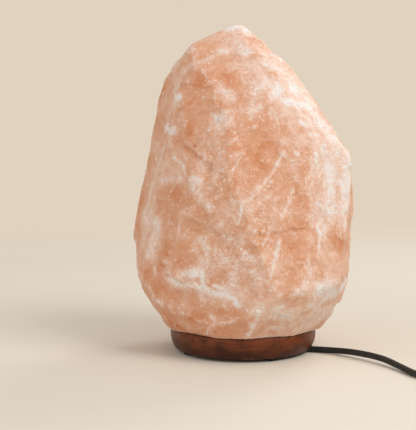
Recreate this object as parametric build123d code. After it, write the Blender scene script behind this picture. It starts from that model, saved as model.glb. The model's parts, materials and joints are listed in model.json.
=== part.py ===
from build123d import *
import os
from math import cos, hypot, pi, radians, sin, sqrt, tan

# A salt crystal lamp: a rough block of rock salt on a turned wooden base, lit from inside by a small
# screw-in bulb. The bulb sits in a holder that three leaf springs hold in the base, and its cord runs
# through a groove under the base to a thumbwheel dimmer, a put-away coil and a flat mains plug.
# Millimetres, +Z up. The origin is on the table, under the middle of the base.

os.makedirs("parts", exist_ok=True)

# ------------------------------------------------------------------------------ driving sizes, mm
# Clearances
moving_gap = 0.3  # between pieces of different bodies
assembly_gap = 0.1  # round a piece that is pushed or screwed into its hole
flat_lift = 0.1  # a lying cord's clearance over the table
cut_past = 1.0  # how far a cut runs beyond the face that it opens

# Feet
foot_count = 4
foot_radius = 6.0
foot_height = 2.5
foot_inset = 12.0  # of its middle from the base's widest line
foot_first_angle = 27.0
foot_edge = 0.8

# Wooden base
base_thickness = 17.5
base_radius = 60.0
base_widest_height = 10.5  # above the base's underside
base_bottom_inset = 4.0
base_top_inset = 0.7
base_top_round = 1.6
base_bottom_round = 1.2
base_bore_radius = 20.0
pocket_radius = 30.0
pocket_depth = 8.0
groove_angle = -14.5
groove_side_gap = 0.5

# Screws that hold the crystal, and their plugs
screw_count = 3
screw_circle_radius = 40.0
screw_first_angle = 72.0
screw_shank_radius = 2.0
screw_length = 34.0
screw_head_radius = 4.0
screw_head_height = 2.4
screw_recess_depth = 7.0
screw_recess_gap = 0.6
screw_cross_width = 1.1
screw_cross_arm = 2.4
screw_cross_depth = 1.2
plug_radius = 4.0
plug_length = 26.0
plug_end_gap = 1.0

# Salt crystal
crystal_height = 246.5
crystal_rounding = 7.0
crystal_bore_radius = 25.0
crystal_bore_depth = 128.0
bore_tip_depth = 7.0
crystal_blank = 300.0  # side of the raw block that the faces are cleaved from

# Each cleaved face: azimuth, height over the seat and distance from the axis there, both in hundredths of
# the crystal's height, and lean from upright.
foot_faces = [
    (0, 6.1, 29.6, -34),
    (-38, 6.1, 28.8, -36),
    (-70, 5.7, 28.0, -38),
    (-100, 6.1, 28.4, -33),
    (-132, 6.1, 27.6, -36),
    (-165, 6.1, 29.0, -31),
    (178, 6.1, 29.4, -33),
    (140, 6.1, 28.8, -35),
    (108, 6.1, 28.0, -34),
    (72, 6.5, 28.4, -37),
    (35, 6.1, 28.8, -33),
]
flank_faces = [
    (6, 40.6, 36.1, -2),
    (-13, 36.5, 35.7, -4),
    (-47, 40.6, 34.5, 6),
    (-79, 44.6, 31.2, 9),
    (-112, 36.5, 29.6, -3),
    (-140, 34.5, 30.8, 8),
    (-158, 30.4, 33.1, 10),
    (172, 30.4, 37.3, 11.5),
    (176, 20.3, 34.9, -12),
    (135, 36.5, 34.1, 5),
    (106, 38.5, 32.9, -4),
    (77, 40.6, 33.3, 4),
    (40, 36.5, 35.7, -3),
]
shoulder_faces = [
    (0, 50.7, 35.1, 8),
    (-5, 69.0, 27.2, 34),
    (183, 69.8, 29.6, 12),
    (-88, 60.9, 27.6, 16),
    (-60, 64.9, 30.0, 22),
    (-35, 71.0, 26.8, 35),
    (-120, 66.9, 25.2, 15),
    (-145, 77.1, 25.2, 24),
    (90, 64.9, 26.8, 18),
    (60, 66.9, 28.4, 24),
    (120, 66.9, 27.6, 17),
    (150, 77.1, 26.0, 24),
    (95, 85.2, 17.0, 38),
    (40, 81.1, 21.1, 40),
]
crown_faces = [
    (8, 89.2, 11.0, 46),
    (178, 87.2, 21.9, 39),
    (-170, 96.6, 11.0, 65),
    (-95, 79.1, 20.3, 30),
    (-70, 81.1, 20.3, 34),
    (-100, 89.2, 13.8, 45),
    (-50, 91.3, 11.0, 50),
    (130, 91.3, 13.8, 50),
    (70, 93.3, 9.7, 55),
    (-60, 99.4, 3.2, 72),
]
# Faces that are cleaved only up to a step. The height and distance are the step's, and the fifth number is
# how far it rises to the right.
stepped_faces = [
    (-112, 36.5, 28.8, 3, -20),
    (-79, 35.4, 31.9, 14, 4),
    (-118, 14.8, 28.0, -3, -24),
    (-4, 10.1, 31.0, -15, 6),
    (-60, 63.0, 29.9, 27, -25),
    (-120, 58.0, 26.7, 20, -30),
    (176, 27.2, 35.5, -4, 8),
    (135, 46.0, 32.4, 10, 15),
    (106, 30.0, 31.4, 2, -12),
    (60, 62.0, 29.6, 29, 10),
]

# Spring-held carrier of the bulb holder
flange_radius = 27.0
sheet_thickness = 1.2
collar_radius = 16.0
collar_wall = 1.0
collar_top = 34.0
lip_height = 16.0  # underside of the lip that the holder stands on
lip_radius = 11.0

# Leaf springs
clip_count = 3
clip_first_angle = 60.0
clip_width = 8.0
clip_thickness = 0.6
clip_foot_radius = 17.8
clip_knee_rise = 4.2
clip_hook_reach = 1.6
clip_hook_drop = 0.3

# Bulb holder
holder_gap = 0.3
cap_height = 19.0
cap_wall = 1.6
cap_floor = 2.0
body_radius = 14.0
body_wall = 1.6
spigot_wall = 1.5
spigot_length = 5.0
partition_thickness = 3.5
body_height = 23.8  # from the cap's rim to the holder's mouth
insert_length = 19.3
contact_offset = 6.0
contact_pin_radius = 0.8
contact_strip = 0.5
contact_width = 3.0
tongue_rise = 2.3
terminal_width = 5.0
terminal_depth = 6.0
terminal_height = 5.2
terminal_screw_radius = 1.3
terminal_screw_length = 1.6
grip_length = 16.0
grip_width = 8.0
grip_height = 4.0

# Screw thread, drawn as closed rings
thread_pitch = 2.82
thread_depth = 0.75
thread_outer_radius = 6.9
thread_turns = 5
thread_engaged_from = 2  # turns of the shell below the bulb's first one
shell_wall = 0.4

# Bulb
bulb_radius = 11.0
bulb_length = 58.0
bulb_glass_wall = 0.8
bulb_neck_radius = 6.0
bulb_neck_length = 3.5
bulb_shoulder_length = 9.0
bulb_collar_length = 3.0
bulb_tip_radius = 2.2
bulb_tip_height = 0.8
insulator_height = 3.0
insulator_radius = 5.0
insulator_foot_radius = 2.8
stem_height = 14.0
stem_radius = 1.6
lead_radius = 0.3
lead_rise = 11.0
lead_bends = (2.75, 7.7)  # over the stem
lead_bend_radius = 1.5
filament_half_width = 5.0
filament_sag = 2.5
filament_radius = 0.25

# Cord
cord_diameter = 5.0
core_radius = 0.9
core_spacing = 2.5
lead_in_bend = 12.0
cord_exit_past = 1.0  # past the base's underside
first_run = 16.3  # from there to the route's first corner
cord_end_height = 24.0
corner_share = 0.45  # of the shorter run, that a corner's arc takes up

# Dimmer
dimmer_place = (185.5, -84.0)  # where its sleeve meets the cord
dimmer_approach = 17.5
dimmer_length = 56.0
dimmer_width = 28.0
dimmer_height = 18.0
dimmer_wall = 1.8
dimmer_split_height = 7.0  # also the height of the cord's axis
dimmer_corner = 6.0
dimmer_top_round = 2.0
dimmer_bottom_round = 0.8
sleeve_length = 20.0
sleeve_root_radius = 5.4
sleeve_tip_radius = 3.4
sleeve_neck_radius = 4.2
sleeve_flange_radius = 5.0
sleeve_flange_length = 1.5
wheel_radius = 16.0
wheel_thickness = 6.0
wheel_ridges = 40
wheel_ridge_depth = 0.6
wheel_stub_radius = 2.5
wheel_stub_length = 1.6
wheel_shaft_length = 3.0
boss_radius = 4.6
board_thickness = 1.6
board_length = 48.0
board_width = 22.0
pot_side = 12.0
capacitor_length = 6.5
capacitor_width = 7.0
capacitor_height = 8.0
capacitor_edge = 1.0
capacitor_side_gap = 1.2
capacitor_end_gap = 1.6
case_screw_radius = 1.25
case_screw_head_radius = 2.4
case_screw_head_height = 1.4
case_screw_end_gap = 1.0
case_hole_floor = 1.0
case_post_radius = 2.9
case_post_inset_x = 8.6
case_post_inset_y = 5.6
core_straight = 4.0
core_bend = 2.0

# Coil of the put-away length
transit_run = 10.0
coil_outer_radius = 40.0
coil_pitch = 5.5
coil_layer_rise = 5.45
coil_layer_half_turns = 7
tie_width = 4.0
tie_thickness = 0.9
tie_gap = 0.1

# Mains plug
relief_length = 22.0
relief_root_radius = 5.2
relief_tip_radius = 3.4
plug_body_length = 36.0
plug_body_width = 35.3
plug_body_thickness = 13.7
plug_rear_width = 14.0
plug_shoulder_length = 14.0
plug_front_length = 8.0
plug_waist_width = 26.0
plug_edge_round = 2.4
pin_radius = 2.0
pin_length = 19.0
pin_spacing = 18.6
pin_root = 6.0
pin_root_radius = 1.8
pin_tip_round = 1.2

# --------------------------------------------------------------------- heights and places, worked out
cord_radius = cord_diameter / 2
lay_height = cord_radius + flat_lift
base_bottom = foot_height
seat_height = base_bottom + base_thickness
base_bottom_radius = base_radius - base_bottom_inset
base_top_radius = base_radius - base_top_inset
foot_circle_radius = base_radius - foot_inset
pocket_ceiling = base_bottom + pocket_depth
screw_seat = base_bottom + screw_recess_depth
screw_end = screw_seat + screw_length

holder_floor = lip_height + sheet_thickness
cap_radius = collar_radius - collar_wall - holder_gap
cap_inner_radius = cap_radius - cap_wall
cap_rim = holder_floor + cap_height
partition_top = cap_rim + partition_thickness
holder_mouth = cap_rim + body_height
insert_radius = body_radius - body_wall - assembly_gap
spigot_radius = cap_inner_radius - assembly_gap
shell_bottom = partition_top + 2 * contact_strip
shell_outer_radius = thread_outer_radius + moving_gap + shell_wall
bulb_tip_bottom = partition_top + tongue_rise + moving_gap
insulator_bottom = bulb_tip_bottom + bulb_tip_height
insulator_middle = insulator_bottom + insulator_height / 2
bulb_thread_bottom = shell_bottom + thread_engaged_from * thread_pitch
bulb_cap_top = holder_mouth + bulb_collar_length
glass_bottom = holder_mouth + bulb_collar_length / 3
bulb_top = bulb_tip_bottom + bulb_length

dimmer_x, dimmer_tip_y = dimmer_place
dimmer_start_y = dimmer_tip_y + sleeve_length
dimmer_end_y = dimmer_start_y + dimmer_length
dimmer_mid_y = (dimmer_start_y + dimmer_end_y) / 2
dimmer_out_y = dimmer_end_y + sleeve_length
cord_axis_height = dimmer_split_height
board_top = dimmer_wall + board_thickness
wheel_bottom = dimmer_split_height + moving_gap
wheel_top = wheel_bottom + wheel_thickness
pot_top = wheel_bottom - moving_gap
cover_ceiling = dimmer_height - dimmer_wall
case_hole_top = cover_ceiling - case_hole_floor

coil_layer_turns = coil_layer_half_turns / 2
coil_bottom_height = tie_thickness + tie_gap + flat_lift + cord_radius
coil_top_height = coil_bottom_height + coil_layer_rise
coil_entry_y = dimmer_out_y + 3 * transit_run
coil_centre = Vector(dimmer_x + coil_outer_radius, coil_entry_y + cord_diameter, 0)
coil_exit_x = coil_centre.X + coil_outer_radius
coil_exit_y = coil_centre.Y - cord_diameter

plug_axis_height = plug_body_thickness / 2 + flat_lift
plug_relief_y = coil_exit_y - 3 * transit_run
plug_rear_y = plug_relief_y - relief_length
plug_front_y = plug_rear_y - plug_body_length

UP = Vector(0, 0, 1)


# ----------------------------------------------------------------------------------------- helpers
def outward(angle, length=1.0):
    """A level vector at an azimuth in degrees."""
    return Vector(cos(radians(angle)), sin(radians(angle)), 0) * length


def turned(points):
    """A solid of revolution about Z from (radius, height) points."""
    outline = Polyline(*[(radius, 0, height) for radius, height in points], close=True)
    return revolve(make_face(outline), Axis.Z)


def rod(radius, bottom, top, x=0.0, y=0.0):
    """An upright cylinder between two heights."""
    standing = (Align.CENTER, Align.CENTER, Align.MIN)
    return Pos(x, y, bottom) * Cylinder(radius, top - bottom, align=standing)


def block(x_range, y_range, z_range):
    """A box between pairs of limits."""
    sides = [high - low for low, high in (x_range, y_range, z_range)]
    corner = [low for low, high in (x_range, y_range, z_range)]
    return Pos(*corner) * Box(*sides, align=(Align.MIN, Align.MIN, Align.MIN))


def around(shape, count, first_angle):
    """Copies of a shape that stands on +X, set evenly about Z."""
    step = 360.0 / count
    return [Rot(0, 0, first_angle + step * index) * shape for index in range(count)]


def wire_tube(path, radius):
    """A round tube along a path."""
    return sweep(Plane(origin=path @ 0, z_dir=path % 0) * Circle(radius), path=path)


def corner_radii(points):
    """Each corner's radius: its share of the shorter run, over the tangent of half the turn."""
    runs = [end - start for start, end in zip(points, points[1:])]
    radii = []
    for before, after in zip(runs, runs[1:]):
        half_turn = radians(before.get_angle(after)) / 2
        radii.append(corner_share * min(before.length, after.length) / tan(half_turn))
    return radii


def free_cord(name, points):
    """A cord along hand-laid points, with its bends and volume printed."""
    points = [Vector(*point) for point in points]
    radii = corner_radii(points)
    path = FilletPolyline(*points, radius=radii)
    tube = wire_tube(path, cord_radius)
    bends = ", ".join(f"{radius:.0f}" for radius in radii)
    share = tube.volume / (pi * cord_radius**2 * path.length)
    print(f"{name}: {path.length:.0f} mm long, bend radii {bends} mm")
    print(f"{name}: volume {share:.4f} of section x length")
    return tube, path.length


def save(shape, name):
    """Write one piece."""
    shape.label = name
    export_step(shape, f"parts/{name}.step")


# ------------------------------------------------------------------------------------ salt crystal
def cleave_plane(azimuth, height, reach, lean):
    """The plane of one cleaved face, its x level and its y up the face."""
    normal = outward(azimuth) * cos(radians(lean)) + UP * sin(radians(lean))
    share = crystal_height / 100
    point = outward(azimuth, reach * share) + UP * (seat_height + height * share)
    return Plane(origin=point, x_dir=outward(azimuth + 90), z_dir=normal)


def salt_crystal():
    """The hewn block: cleaved faces, rounded edges, steps, a flat seat and a bore for the bulb."""
    blank = Box(crystal_blank, crystal_blank, crystal_blank)
    stone = Pos(0, 0, seat_height + crystal_height / 2) * blank
    for face in foot_faces + flank_faces + shoulder_faces + crown_faces:
        rough_face = cleave_plane(*face).offset(-crystal_rounding)  # the rounding puts this back
        stone = split(stone, bisect_by=rough_face, keep=Keep.BOTTOM)
    top_plane = Plane.XY.offset(seat_height + crystal_height - crystal_rounding)
    stone = split(stone, bisect_by=top_plane, keep=Keep.BOTTOM)
    stone = offset(stone, amount=crystal_rounding, kind=Kind.ARC)
    under_step = Pos(0, -crystal_blank / 2, crystal_blank / 2) * blank
    for *face, rise in stepped_faces:
        stone -= cleave_plane(*face).location * Rot(0, 0, rise) * under_step
    stone = split(stone, bisect_by=Plane.XY.offset(seat_height), keep=Keep.TOP)
    bore_end = seat_height + crystal_bore_depth
    stone -= turned([
        (0, seat_height - cut_past),
        (crystal_bore_radius, seat_height - cut_past),
        (crystal_bore_radius, bore_end - bore_tip_depth),
        (0, bore_end),
    ])
    hole_end = seat_height + plug_length + plug_end_gap
    hole = rod(plug_radius + assembly_gap, seat_height - cut_past, hole_end, x=screw_circle_radius)
    for one in around(hole, screw_count, screw_first_angle):
        stone -= one
    return stone


# -------------------------------------------------------------------------------- base and its feet
def wood_base():
    """The turned disc, with its pocket, bore, screw holes and cord groove."""
    underside = Line((0, 0, base_bottom), (base_bottom_radius, 0, base_bottom))
    side = ThreePointArc(
        (base_bottom_radius, 0, base_bottom),
        (base_radius, 0, base_bottom + base_widest_height),
        (base_top_radius, 0, seat_height),
    )
    top = Line((base_top_radius, 0, seat_height), (0, 0, seat_height))
    axis = Line((0, 0, seat_height), (0, 0, base_bottom))
    disc = revolve(make_face([underside, side, top, axis]), Axis.Z)
    rims = disc.edges().filter_by(GeomType.CIRCLE).sort_by(Axis.Z)
    disc = fillet(rims[-1], base_top_round)
    rims = disc.edges().filter_by(GeomType.CIRCLE).sort_by(Axis.Z)
    disc = fillet(rims[0], base_bottom_round)
    below = base_bottom - cut_past
    above = seat_height + cut_past
    disc -= rod(base_bore_radius, below, above)
    disc -= rod(pocket_radius, below, pocket_ceiling)
    screw_hole = rod(screw_shank_radius + assembly_gap, below, above, x=screw_circle_radius)
    screw_hole += rod(screw_head_radius + screw_recess_gap, below, screw_seat, x=screw_circle_radius)
    for one in around(screw_hole, screw_count, screw_first_angle):
        disc -= one
    groove_half_width = cord_radius + groove_side_gap
    groove_top = lay_height + cord_radius + groove_side_gap
    groove = block(
        (pocket_radius - groove_half_width, base_radius + cut_past),
        (-groove_half_width, groove_half_width),
        (below, groove_top),
    )
    return disc - Rot(0, 0, groove_angle) * groove


def base_foot():
    """A round pad with a softened lower edge."""
    pad = rod(foot_radius, 0, foot_height, x=foot_circle_radius)
    return fillet(pad.edges().sort_by(Axis.Z)[0], foot_edge)


def base_screw():
    """A pan-head screw from the underside of the base into its plug, with a cross recess."""
    head_bottom = screw_seat - screw_head_height
    shank = rod(screw_shank_radius, screw_seat, screw_end)
    head = rod(screw_head_radius, head_bottom, screw_seat)
    head = fillet(head.edges().sort_by(Axis.Z)[0], screw_head_height / 3)
    arm = (-screw_cross_arm, screw_cross_arm)
    half = (-screw_cross_width / 2, screw_cross_width / 2)
    deep = (head_bottom - cut_past, head_bottom + screw_cross_depth)
    screw = head + shank - block(arm, half, deep) - block(half, arm, deep)
    return Pos(screw_circle_radius, 0, 0) * screw


def screw_plug():
    """The plug in the salt that takes a screw."""
    plug = rod(plug_radius, seat_height, seat_height + plug_length, x=screw_circle_radius)
    return plug - rod(screw_shank_radius, seat_height - cut_past, screw_end, x=screw_circle_radius)


# --------------------------------------------------------------------------- carrier, springs, holder
def holder_flange():
    """The pressed carrier: a flange under the base, a collar up through it and a lip for the holder."""
    inner = collar_radius - collar_wall
    return turned([
        (inner, pocket_ceiling - sheet_thickness),
        (flange_radius, pocket_ceiling - sheet_thickness),
        (flange_radius, pocket_ceiling),
        (collar_radius, pocket_ceiling),
        (collar_radius, collar_top),
        (inner, collar_top),
        (inner, holder_floor),
        (lip_radius, holder_floor),
        (lip_radius, lip_height),
        (inner, lip_height),
    ])


def clip():
    """A leaf spring on +X: upright foot, leaning blade and a hook over the rim of the base's bore."""
    foot = pocket_ceiling + moving_gap
    knee = foot + clip_knee_rise
    inner = clip_foot_radius
    outer = inner + clip_thickness
    shoulder = sqrt((base_bore_radius - moving_gap) ** 2 - (clip_width / 2) ** 2)
    hook_under = seat_height + moving_gap
    hook_tip = base_bore_radius + clip_hook_reach
    outline = Polyline(
        (inner, 0, foot),
        (outer, 0, foot),
        (outer, 0, knee),
        (shoulder, 0, seat_height - clip_thickness),
        (shoulder, 0, hook_under + clip_thickness),
        (hook_tip, 0, hook_under + clip_thickness - clip_hook_drop),
        (hook_tip, 0, hook_under + 2 * clip_thickness - clip_hook_drop),
        (shoulder - clip_thickness, 0, hook_under + 2 * clip_thickness),
        (shoulder - clip_thickness, 0, seat_height - clip_thickness),
        (inner, 0, knee),
        close=True,
    )
    return extrude(make_face(outline), amount=clip_width / 2, both=True)


def holder_cap():
    """The lower cup of the holder, with the cord's hole in its floor."""
    return turned([
        (cord_radius + assembly_gap, holder_floor),
        (cap_radius, holder_floor),
        (cap_radius, cap_rim),
        (cap_inner_radius, cap_rim),
        (cap_inner_radius, holder_floor + cap_floor),
        (cord_radius + assembly_gap, holder_floor + cap_floor),
    ])


def cord_grip():
    """The clamp on the cap's floor that holds the cord."""
    bottom = holder_floor + cap_floor
    half_x = grip_length / 2
    half_y = grip_width / 2
    bar = block((-half_x, half_x), (-half_y, half_y), (bottom, bottom + grip_height))
    bar = fillet(bar.edges().filter_by(Axis.Z), grip_width / 4)
    return bar - rod(cord_radius + assembly_gap, bottom - cut_past, bottom + grip_height + cut_past)


def holder_body():
    """The upper tube of the holder, with its partition and a spigot into the cap."""
    spigot_inner = spigot_radius - spigot_wall
    body = turned([
        (0, cap_rim),
        (spigot_inner, cap_rim),
        (spigot_inner, cap_rim - spigot_length),
        (spigot_radius, cap_rim - spigot_length),
        (spigot_radius, cap_rim),
        (body_radius, cap_rim),
        (body_radius, holder_mouth),
        (body_radius - body_wall, holder_mouth),
        (body_radius - body_wall, partition_top),
        (0, partition_top),
    ])
    pin_hole = rod(contact_pin_radius + assembly_gap, cap_rim - cut_past, partition_top + cut_past)
    for side in (-1, 1):
        body -= Pos(side * contact_offset, 0, 0) * pin_hole
    return body


def holder_insert():
    """The heat-proof sleeve round the screw shell."""
    inner = shell_outer_radius + assembly_gap
    return turned([
        (inner, partition_top),
        (insert_radius, partition_top),
        (insert_radius, partition_top + insert_length),
        (inner, partition_top + insert_length),
    ])


def thread_line(crest_radius, bottom, offset_radius=0.0):
    """Half-wave arcs of a rolled thread, crest out then root in, from a height upwards."""
    half_pitch = thread_pitch / 2
    half_depth = thread_depth / 2
    middle = crest_radius - half_depth + offset_radius
    arcs = []
    for index in range(2 * thread_turns):
        start = bottom + index * half_pitch
        bulge = half_depth if index % 2 == 0 else -half_depth
        arcs.append(
            ThreePointArc(
                (middle, 0, start),
                (middle + bulge, 0, start + half_pitch / 2),
                (middle, 0, start + half_pitch),
            )
        )
    return arcs


def rolled_tube(inner_line, outer_line):
    """A thin turned tube between two wavy lines that share their end heights."""
    bottom = Line(inner_line[0] @ 0, outer_line[0] @ 0)
    top = Line(inner_line[-1] @ 1, outer_line[-1] @ 1)
    return revolve(make_face([*inner_line, top, *outer_line, bottom]), Axis.Z)


def screw_shell():
    """The holder's threaded shell, standing on its side contact."""
    inner = thread_line(thread_outer_radius + moving_gap, shell_bottom)
    outer = thread_line(thread_outer_radius + moving_gap, shell_bottom, shell_wall)
    return rolled_tube(inner, outer)


def side_contact():
    """The strip under the screw shell, with its pin through the partition."""
    half = contact_width / 2
    strip = block(
        (contact_offset - contact_pin_radius, shell_outer_radius - assembly_gap),
        (-half, half),
        (partition_top, shell_bottom),
    )
    pin = rod(contact_pin_radius, cap_rim, partition_top, x=contact_offset)
    return strip + pin


def centre_contact():
    """The sprung tongue under the bulb's tip, with its pin through the partition."""
    left = -contact_offset - contact_pin_radius
    top = partition_top + tongue_rise
    bend = -contact_offset + 2 * contact_pin_radius
    outline = Polyline(
        (left, 0, partition_top),
        (bend + contact_strip, 0, partition_top),
        (-bulb_tip_radius + contact_strip, 0, top - contact_strip),
        (bulb_tip_radius, 0, top - contact_strip),
        (bulb_tip_radius, 0, top),
        (-bulb_tip_radius, 0, top),
        (bend, 0, partition_top + contact_strip),
        (left, 0, partition_top + contact_strip),
        close=True,
    )
    tongue = extrude(make_face(outline), amount=contact_width / 2, both=True)
    return tongue + rod(contact_pin_radius, cap_rim, partition_top, x=-contact_offset)


def terminal():
    """A brass terminal block under the partition, with its clamping screw's head."""
    half_x = terminal_width / 2
    half_y = terminal_depth / 2
    bottom = cap_rim - terminal_height
    body = block((-half_x, half_x), (-half_y, half_y), (bottom, cap_rim))
    head = Pos(0, -half_y, bottom + terminal_height / 2) * Rot(90, 0, 0)
    return body + head * rod(terminal_screw_radius, 0, terminal_screw_length)


# -------------------------------------------------------------------------------------------- bulb
def bulb_cap():
    """The bulb's rolled screw cap, with a plain rim round the glass."""
    inner = thread_line(thread_outer_radius, bulb_thread_bottom, -shell_wall)
    outer = thread_line(thread_outer_radius, bulb_thread_bottom)
    thread = rolled_tube(inner, outer)
    thread_top = bulb_thread_bottom + thread_turns * thread_pitch
    middle = thread_outer_radius - thread_depth / 2
    rim = turned([
        (middle - shell_wall, thread_top),
        (middle, thread_top),
        (middle, bulb_cap_top),
        (middle - shell_wall, bulb_cap_top),
    ])
    skirt = turned([
        (insulator_radius, insulator_middle),
        (insulator_radius + shell_wall, insulator_middle),
        (middle, bulb_thread_bottom),
        (middle - shell_wall, bulb_thread_bottom),
    ])
    return thread + rim + skirt


def bulb_insulator():
    """The dark glass plug that closes the cap's lower end."""
    return turned([
        (0, insulator_bottom),
        (insulator_foot_radius, insulator_bottom),
        (insulator_radius, insulator_middle),
        (insulator_radius, insulator_bottom + insulator_height),
        (0, insulator_bottom + insulator_height),
    ])


def bulb_tip():
    """The solder contact under the bulb."""
    button = rod(bulb_tip_radius, bulb_tip_bottom, insulator_bottom)
    return fillet(button.edges().sort_by(Axis.Z)[0], bulb_tip_height / 2)


def glass_line(wall):
    """One side of the bulb's glass, from its neck round to the top, a wall's thickness further in."""
    neck = bulb_neck_radius - wall
    side = bulb_radius - wall
    neck_top = glass_bottom + bulb_neck_length
    shoulder_top = neck_top + bulb_shoulder_length
    dome_start = bulb_top - bulb_radius
    dome_reach = side * sin(radians(45))
    middle = (neck + side) / 2
    half_shoulder = (neck_top + shoulder_top) / 2
    return [
        Line((neck, 0, glass_bottom), (neck, 0, neck_top)),
        Spline(
            (neck, 0, neck_top),
            (middle, 0, half_shoulder),
            (side, 0, shoulder_top),
            tangents=[(0, 0, 1), (0, 0, 1)],
        ),
        Line((side, 0, shoulder_top), (side, 0, dome_start)),
        ThreePointArc(
            (side, 0, dome_start),
            (dome_reach, 0, dome_start + dome_reach),
            (0, 0, dome_start + side),
        ),
    ]


def bulb_glass():
    """The blown envelope, open at its neck."""
    outside = glass_line(0)
    inside = glass_line(bulb_glass_wall)
    mouth = Line(inside[0] @ 0, outside[0] @ 0)
    crown = Line(outside[-1] @ 1, inside[-1] @ 1)
    return revolve(make_face([*outside, crown, *inside, mouth]), Axis.Z)


def bulb_stem():
    """The glass foot that carries the lead wires."""
    foot_radius_inside = bulb_neck_radius - bulb_glass_wall - assembly_gap
    return turned([
        (0, glass_bottom),
        (foot_radius_inside, glass_bottom),
        (stem_radius, glass_bottom + stem_height / 2),
        (stem_radius, glass_bottom + stem_height),
        (0, glass_bottom + stem_height),
    ])


def lead_path(side):
    """The line of one lead wire, from the stem to the filament's end."""
    foot = glass_bottom + stem_height
    near = side * stem_radius / 2
    far = side * filament_half_width
    return FilletPolyline(
        (near, 0, foot),
        (near, 0, foot + lead_bends[0]),
        (far, 0, foot + lead_bends[1]),
        (far, 0, foot + lead_rise),
        radius=lead_bend_radius,
    )


def filament():
    """The filament, hung between the two lead wires' ends."""
    height = glass_bottom + stem_height + lead_rise + filament_radius
    wide = filament_half_width + lead_radius
    path = ThreePointArc((-wide, 0, height), (0, 0, height + filament_sag), (wide, 0, height))
    return wire_tube(path, filament_radius)


# -------------------------------------------------------------------------------------------- cord
def lead_in_path():
    """The cord's line inside the base: down out of the holder, round a bend and out along the groove."""
    corner = Vector(0, 0, lay_height)
    end = outward(groove_angle, groove_end) + corner
    return FilletPolyline((0, 0, cord_end_height), corner, end, radius=lead_in_bend)


def holder_core(side):
    """One core, from the cord's cut end to its terminal."""
    near = side * core_spacing / 2
    far = side * contact_offset
    top = cap_rim - terminal_height
    rise = top - cord_end_height
    path = FilletPolyline(
        (near, 0, cord_end_height),
        (near, 0, cord_end_height + rise / 4),
        (far, 0, top - rise / 4),
        (far, 0, top),
        radius=core_radius,
    )
    return wire_tube(path, core_radius)


def coil_frame(turns):
    """Place and direction of the coil's line after a number of turns, clockwise from its left side."""
    total_turns = 2 * coil_layer_turns + 0.5
    past = turns - coil_layer_turns
    inner_radius = coil_outer_radius - coil_layer_turns * coil_pitch
    climb = min(max(past, 0.0), 0.5)
    if past <= 0:
        radius, widening = coil_outer_radius - turns * coil_pitch, -coil_pitch
    elif past < 0.5:
        radius = inner_radius - coil_pitch * min(past, 0.5 - past)
        widening = 0.0
    else:
        radius, widening = inner_radius + (past - 0.5) * coil_pitch, coil_pitch
    if turns in (0, total_turns):
        widening = 0.0
    angle = 180 - 360 * turns
    height = coil_bottom_height + coil_layer_rise * (1 - cos(2 * pi * climb)) / 2
    slope = coil_layer_rise * pi * sin(2 * pi * climb)
    place = coil_centre + outward(angle, radius) + UP * height
    direction = outward(angle) * widening + outward(angle - 90) * (2 * pi * radius) + UP * slope
    return place, direction.normalized()


def biarc(start, start_direction, end, end_direction):
    """Two tangent arcs between two places, leaving and arriving along the given directions."""
    chord = end - start
    both = start_direction + end_direction
    slack = 2 * (1 - start_direction.dot(end_direction))
    along = chord.dot(both)
    reach = (sqrt(along**2 + slack * chord.dot(chord)) - along) / slack
    near = start + start_direction * reach
    far = end - end_direction * reach
    middle = (near + far) * 0.5
    return [
        TangentArc(start, middle, tangent=start_direction),
        TangentArc(middle, end, tangent=(far - near).normalized()),
    ]


def coil_path():
    """The coil's unbroken line: in on the lower layer, up in the half turn where it reverses, out above."""
    stops = [index / 2 for index in range(coil_layer_half_turns + 1)]
    stops.append(coil_layer_turns + 0.25)
    stops += [coil_layer_turns + 0.5 + index / 2 for index in range(coil_layer_half_turns + 1)]
    frames = [coil_frame(stop) for stop in stops]
    first, first_direction = frames[0]
    last, last_direction = frames[-1]
    edges = [Line(first - first_direction * cord_diameter, first)]
    for (start, start_direction), (end, end_direction) in zip(frames, frames[1:]):
        edges += biarc(start, start_direction, end, end_direction)
    edges.append(Line(last, last + last_direction * cord_diameter))
    return Wire(edges)


def least_gap(path, step=2.0):
    """The smallest gap between stretches of a coil that aren't neighbours along it."""
    count = int(path.length / step)
    points = [path.position_at(index / count) for index in range(count + 1)]
    points = [(point.X, point.Y, point.Z) for point in points]
    apart = int(4 * cord_diameter / step)
    nearest = path.length
    for index, (x, y, z) in enumerate(points):
        for other_x, other_y, other_z in points[index + apart :]:
            nearest = min(nearest, hypot(x - other_x, y - other_y, z - other_z))
    return nearest - cord_diameter


def cord_tie(side):
    """A flat band round the coil's bundle, in front of or behind its middle."""
    inner = coil_outer_radius - (coil_layer_turns + 0.25) * coil_pitch - cord_radius - tie_gap
    outer = coil_outer_radius + cord_radius + tie_gap
    low = coil_bottom_height - cord_radius - tie_gap
    high = coil_top_height + cord_radius + tie_gap
    across = outer - inner
    tall = high - low
    frame = Plane(
        origin=coil_centre + Vector(0, side * (inner + outer) / 2, (low + high) / 2),
        x_dir=(0, 1, 0),
        z_dir=(1, 0, 0),
    )
    band = RectangleRounded(across + 2 * tie_thickness, tall + 2 * tie_thickness, cord_radius + tie_thickness)
    band -= RectangleRounded(across, tall, cord_radius)
    return extrude(frame * band, amount=tie_width / 2, both=True)


# ------------------------------------------------------------------------------------------ dimmer
def dimmer_hull(bottom, top):
    """The dimmer's outer form between two heights."""
    plan = Pos(dimmer_x, dimmer_mid_y, bottom) * RectangleRounded(dimmer_width, dimmer_length, dimmer_corner)
    return extrude(plan, amount=top - bottom)


def dimmer_hollow(bottom, top):
    """The room inside the dimmer between two heights."""
    wide = dimmer_width - 2 * dimmer_wall
    length = dimmer_length - 2 * dimmer_wall
    plan = Pos(dimmer_x, dimmer_mid_y, bottom) * RectangleRounded(wide, length, dimmer_corner - dimmer_wall)
    return extrude(plan, amount=top - bottom)


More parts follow.
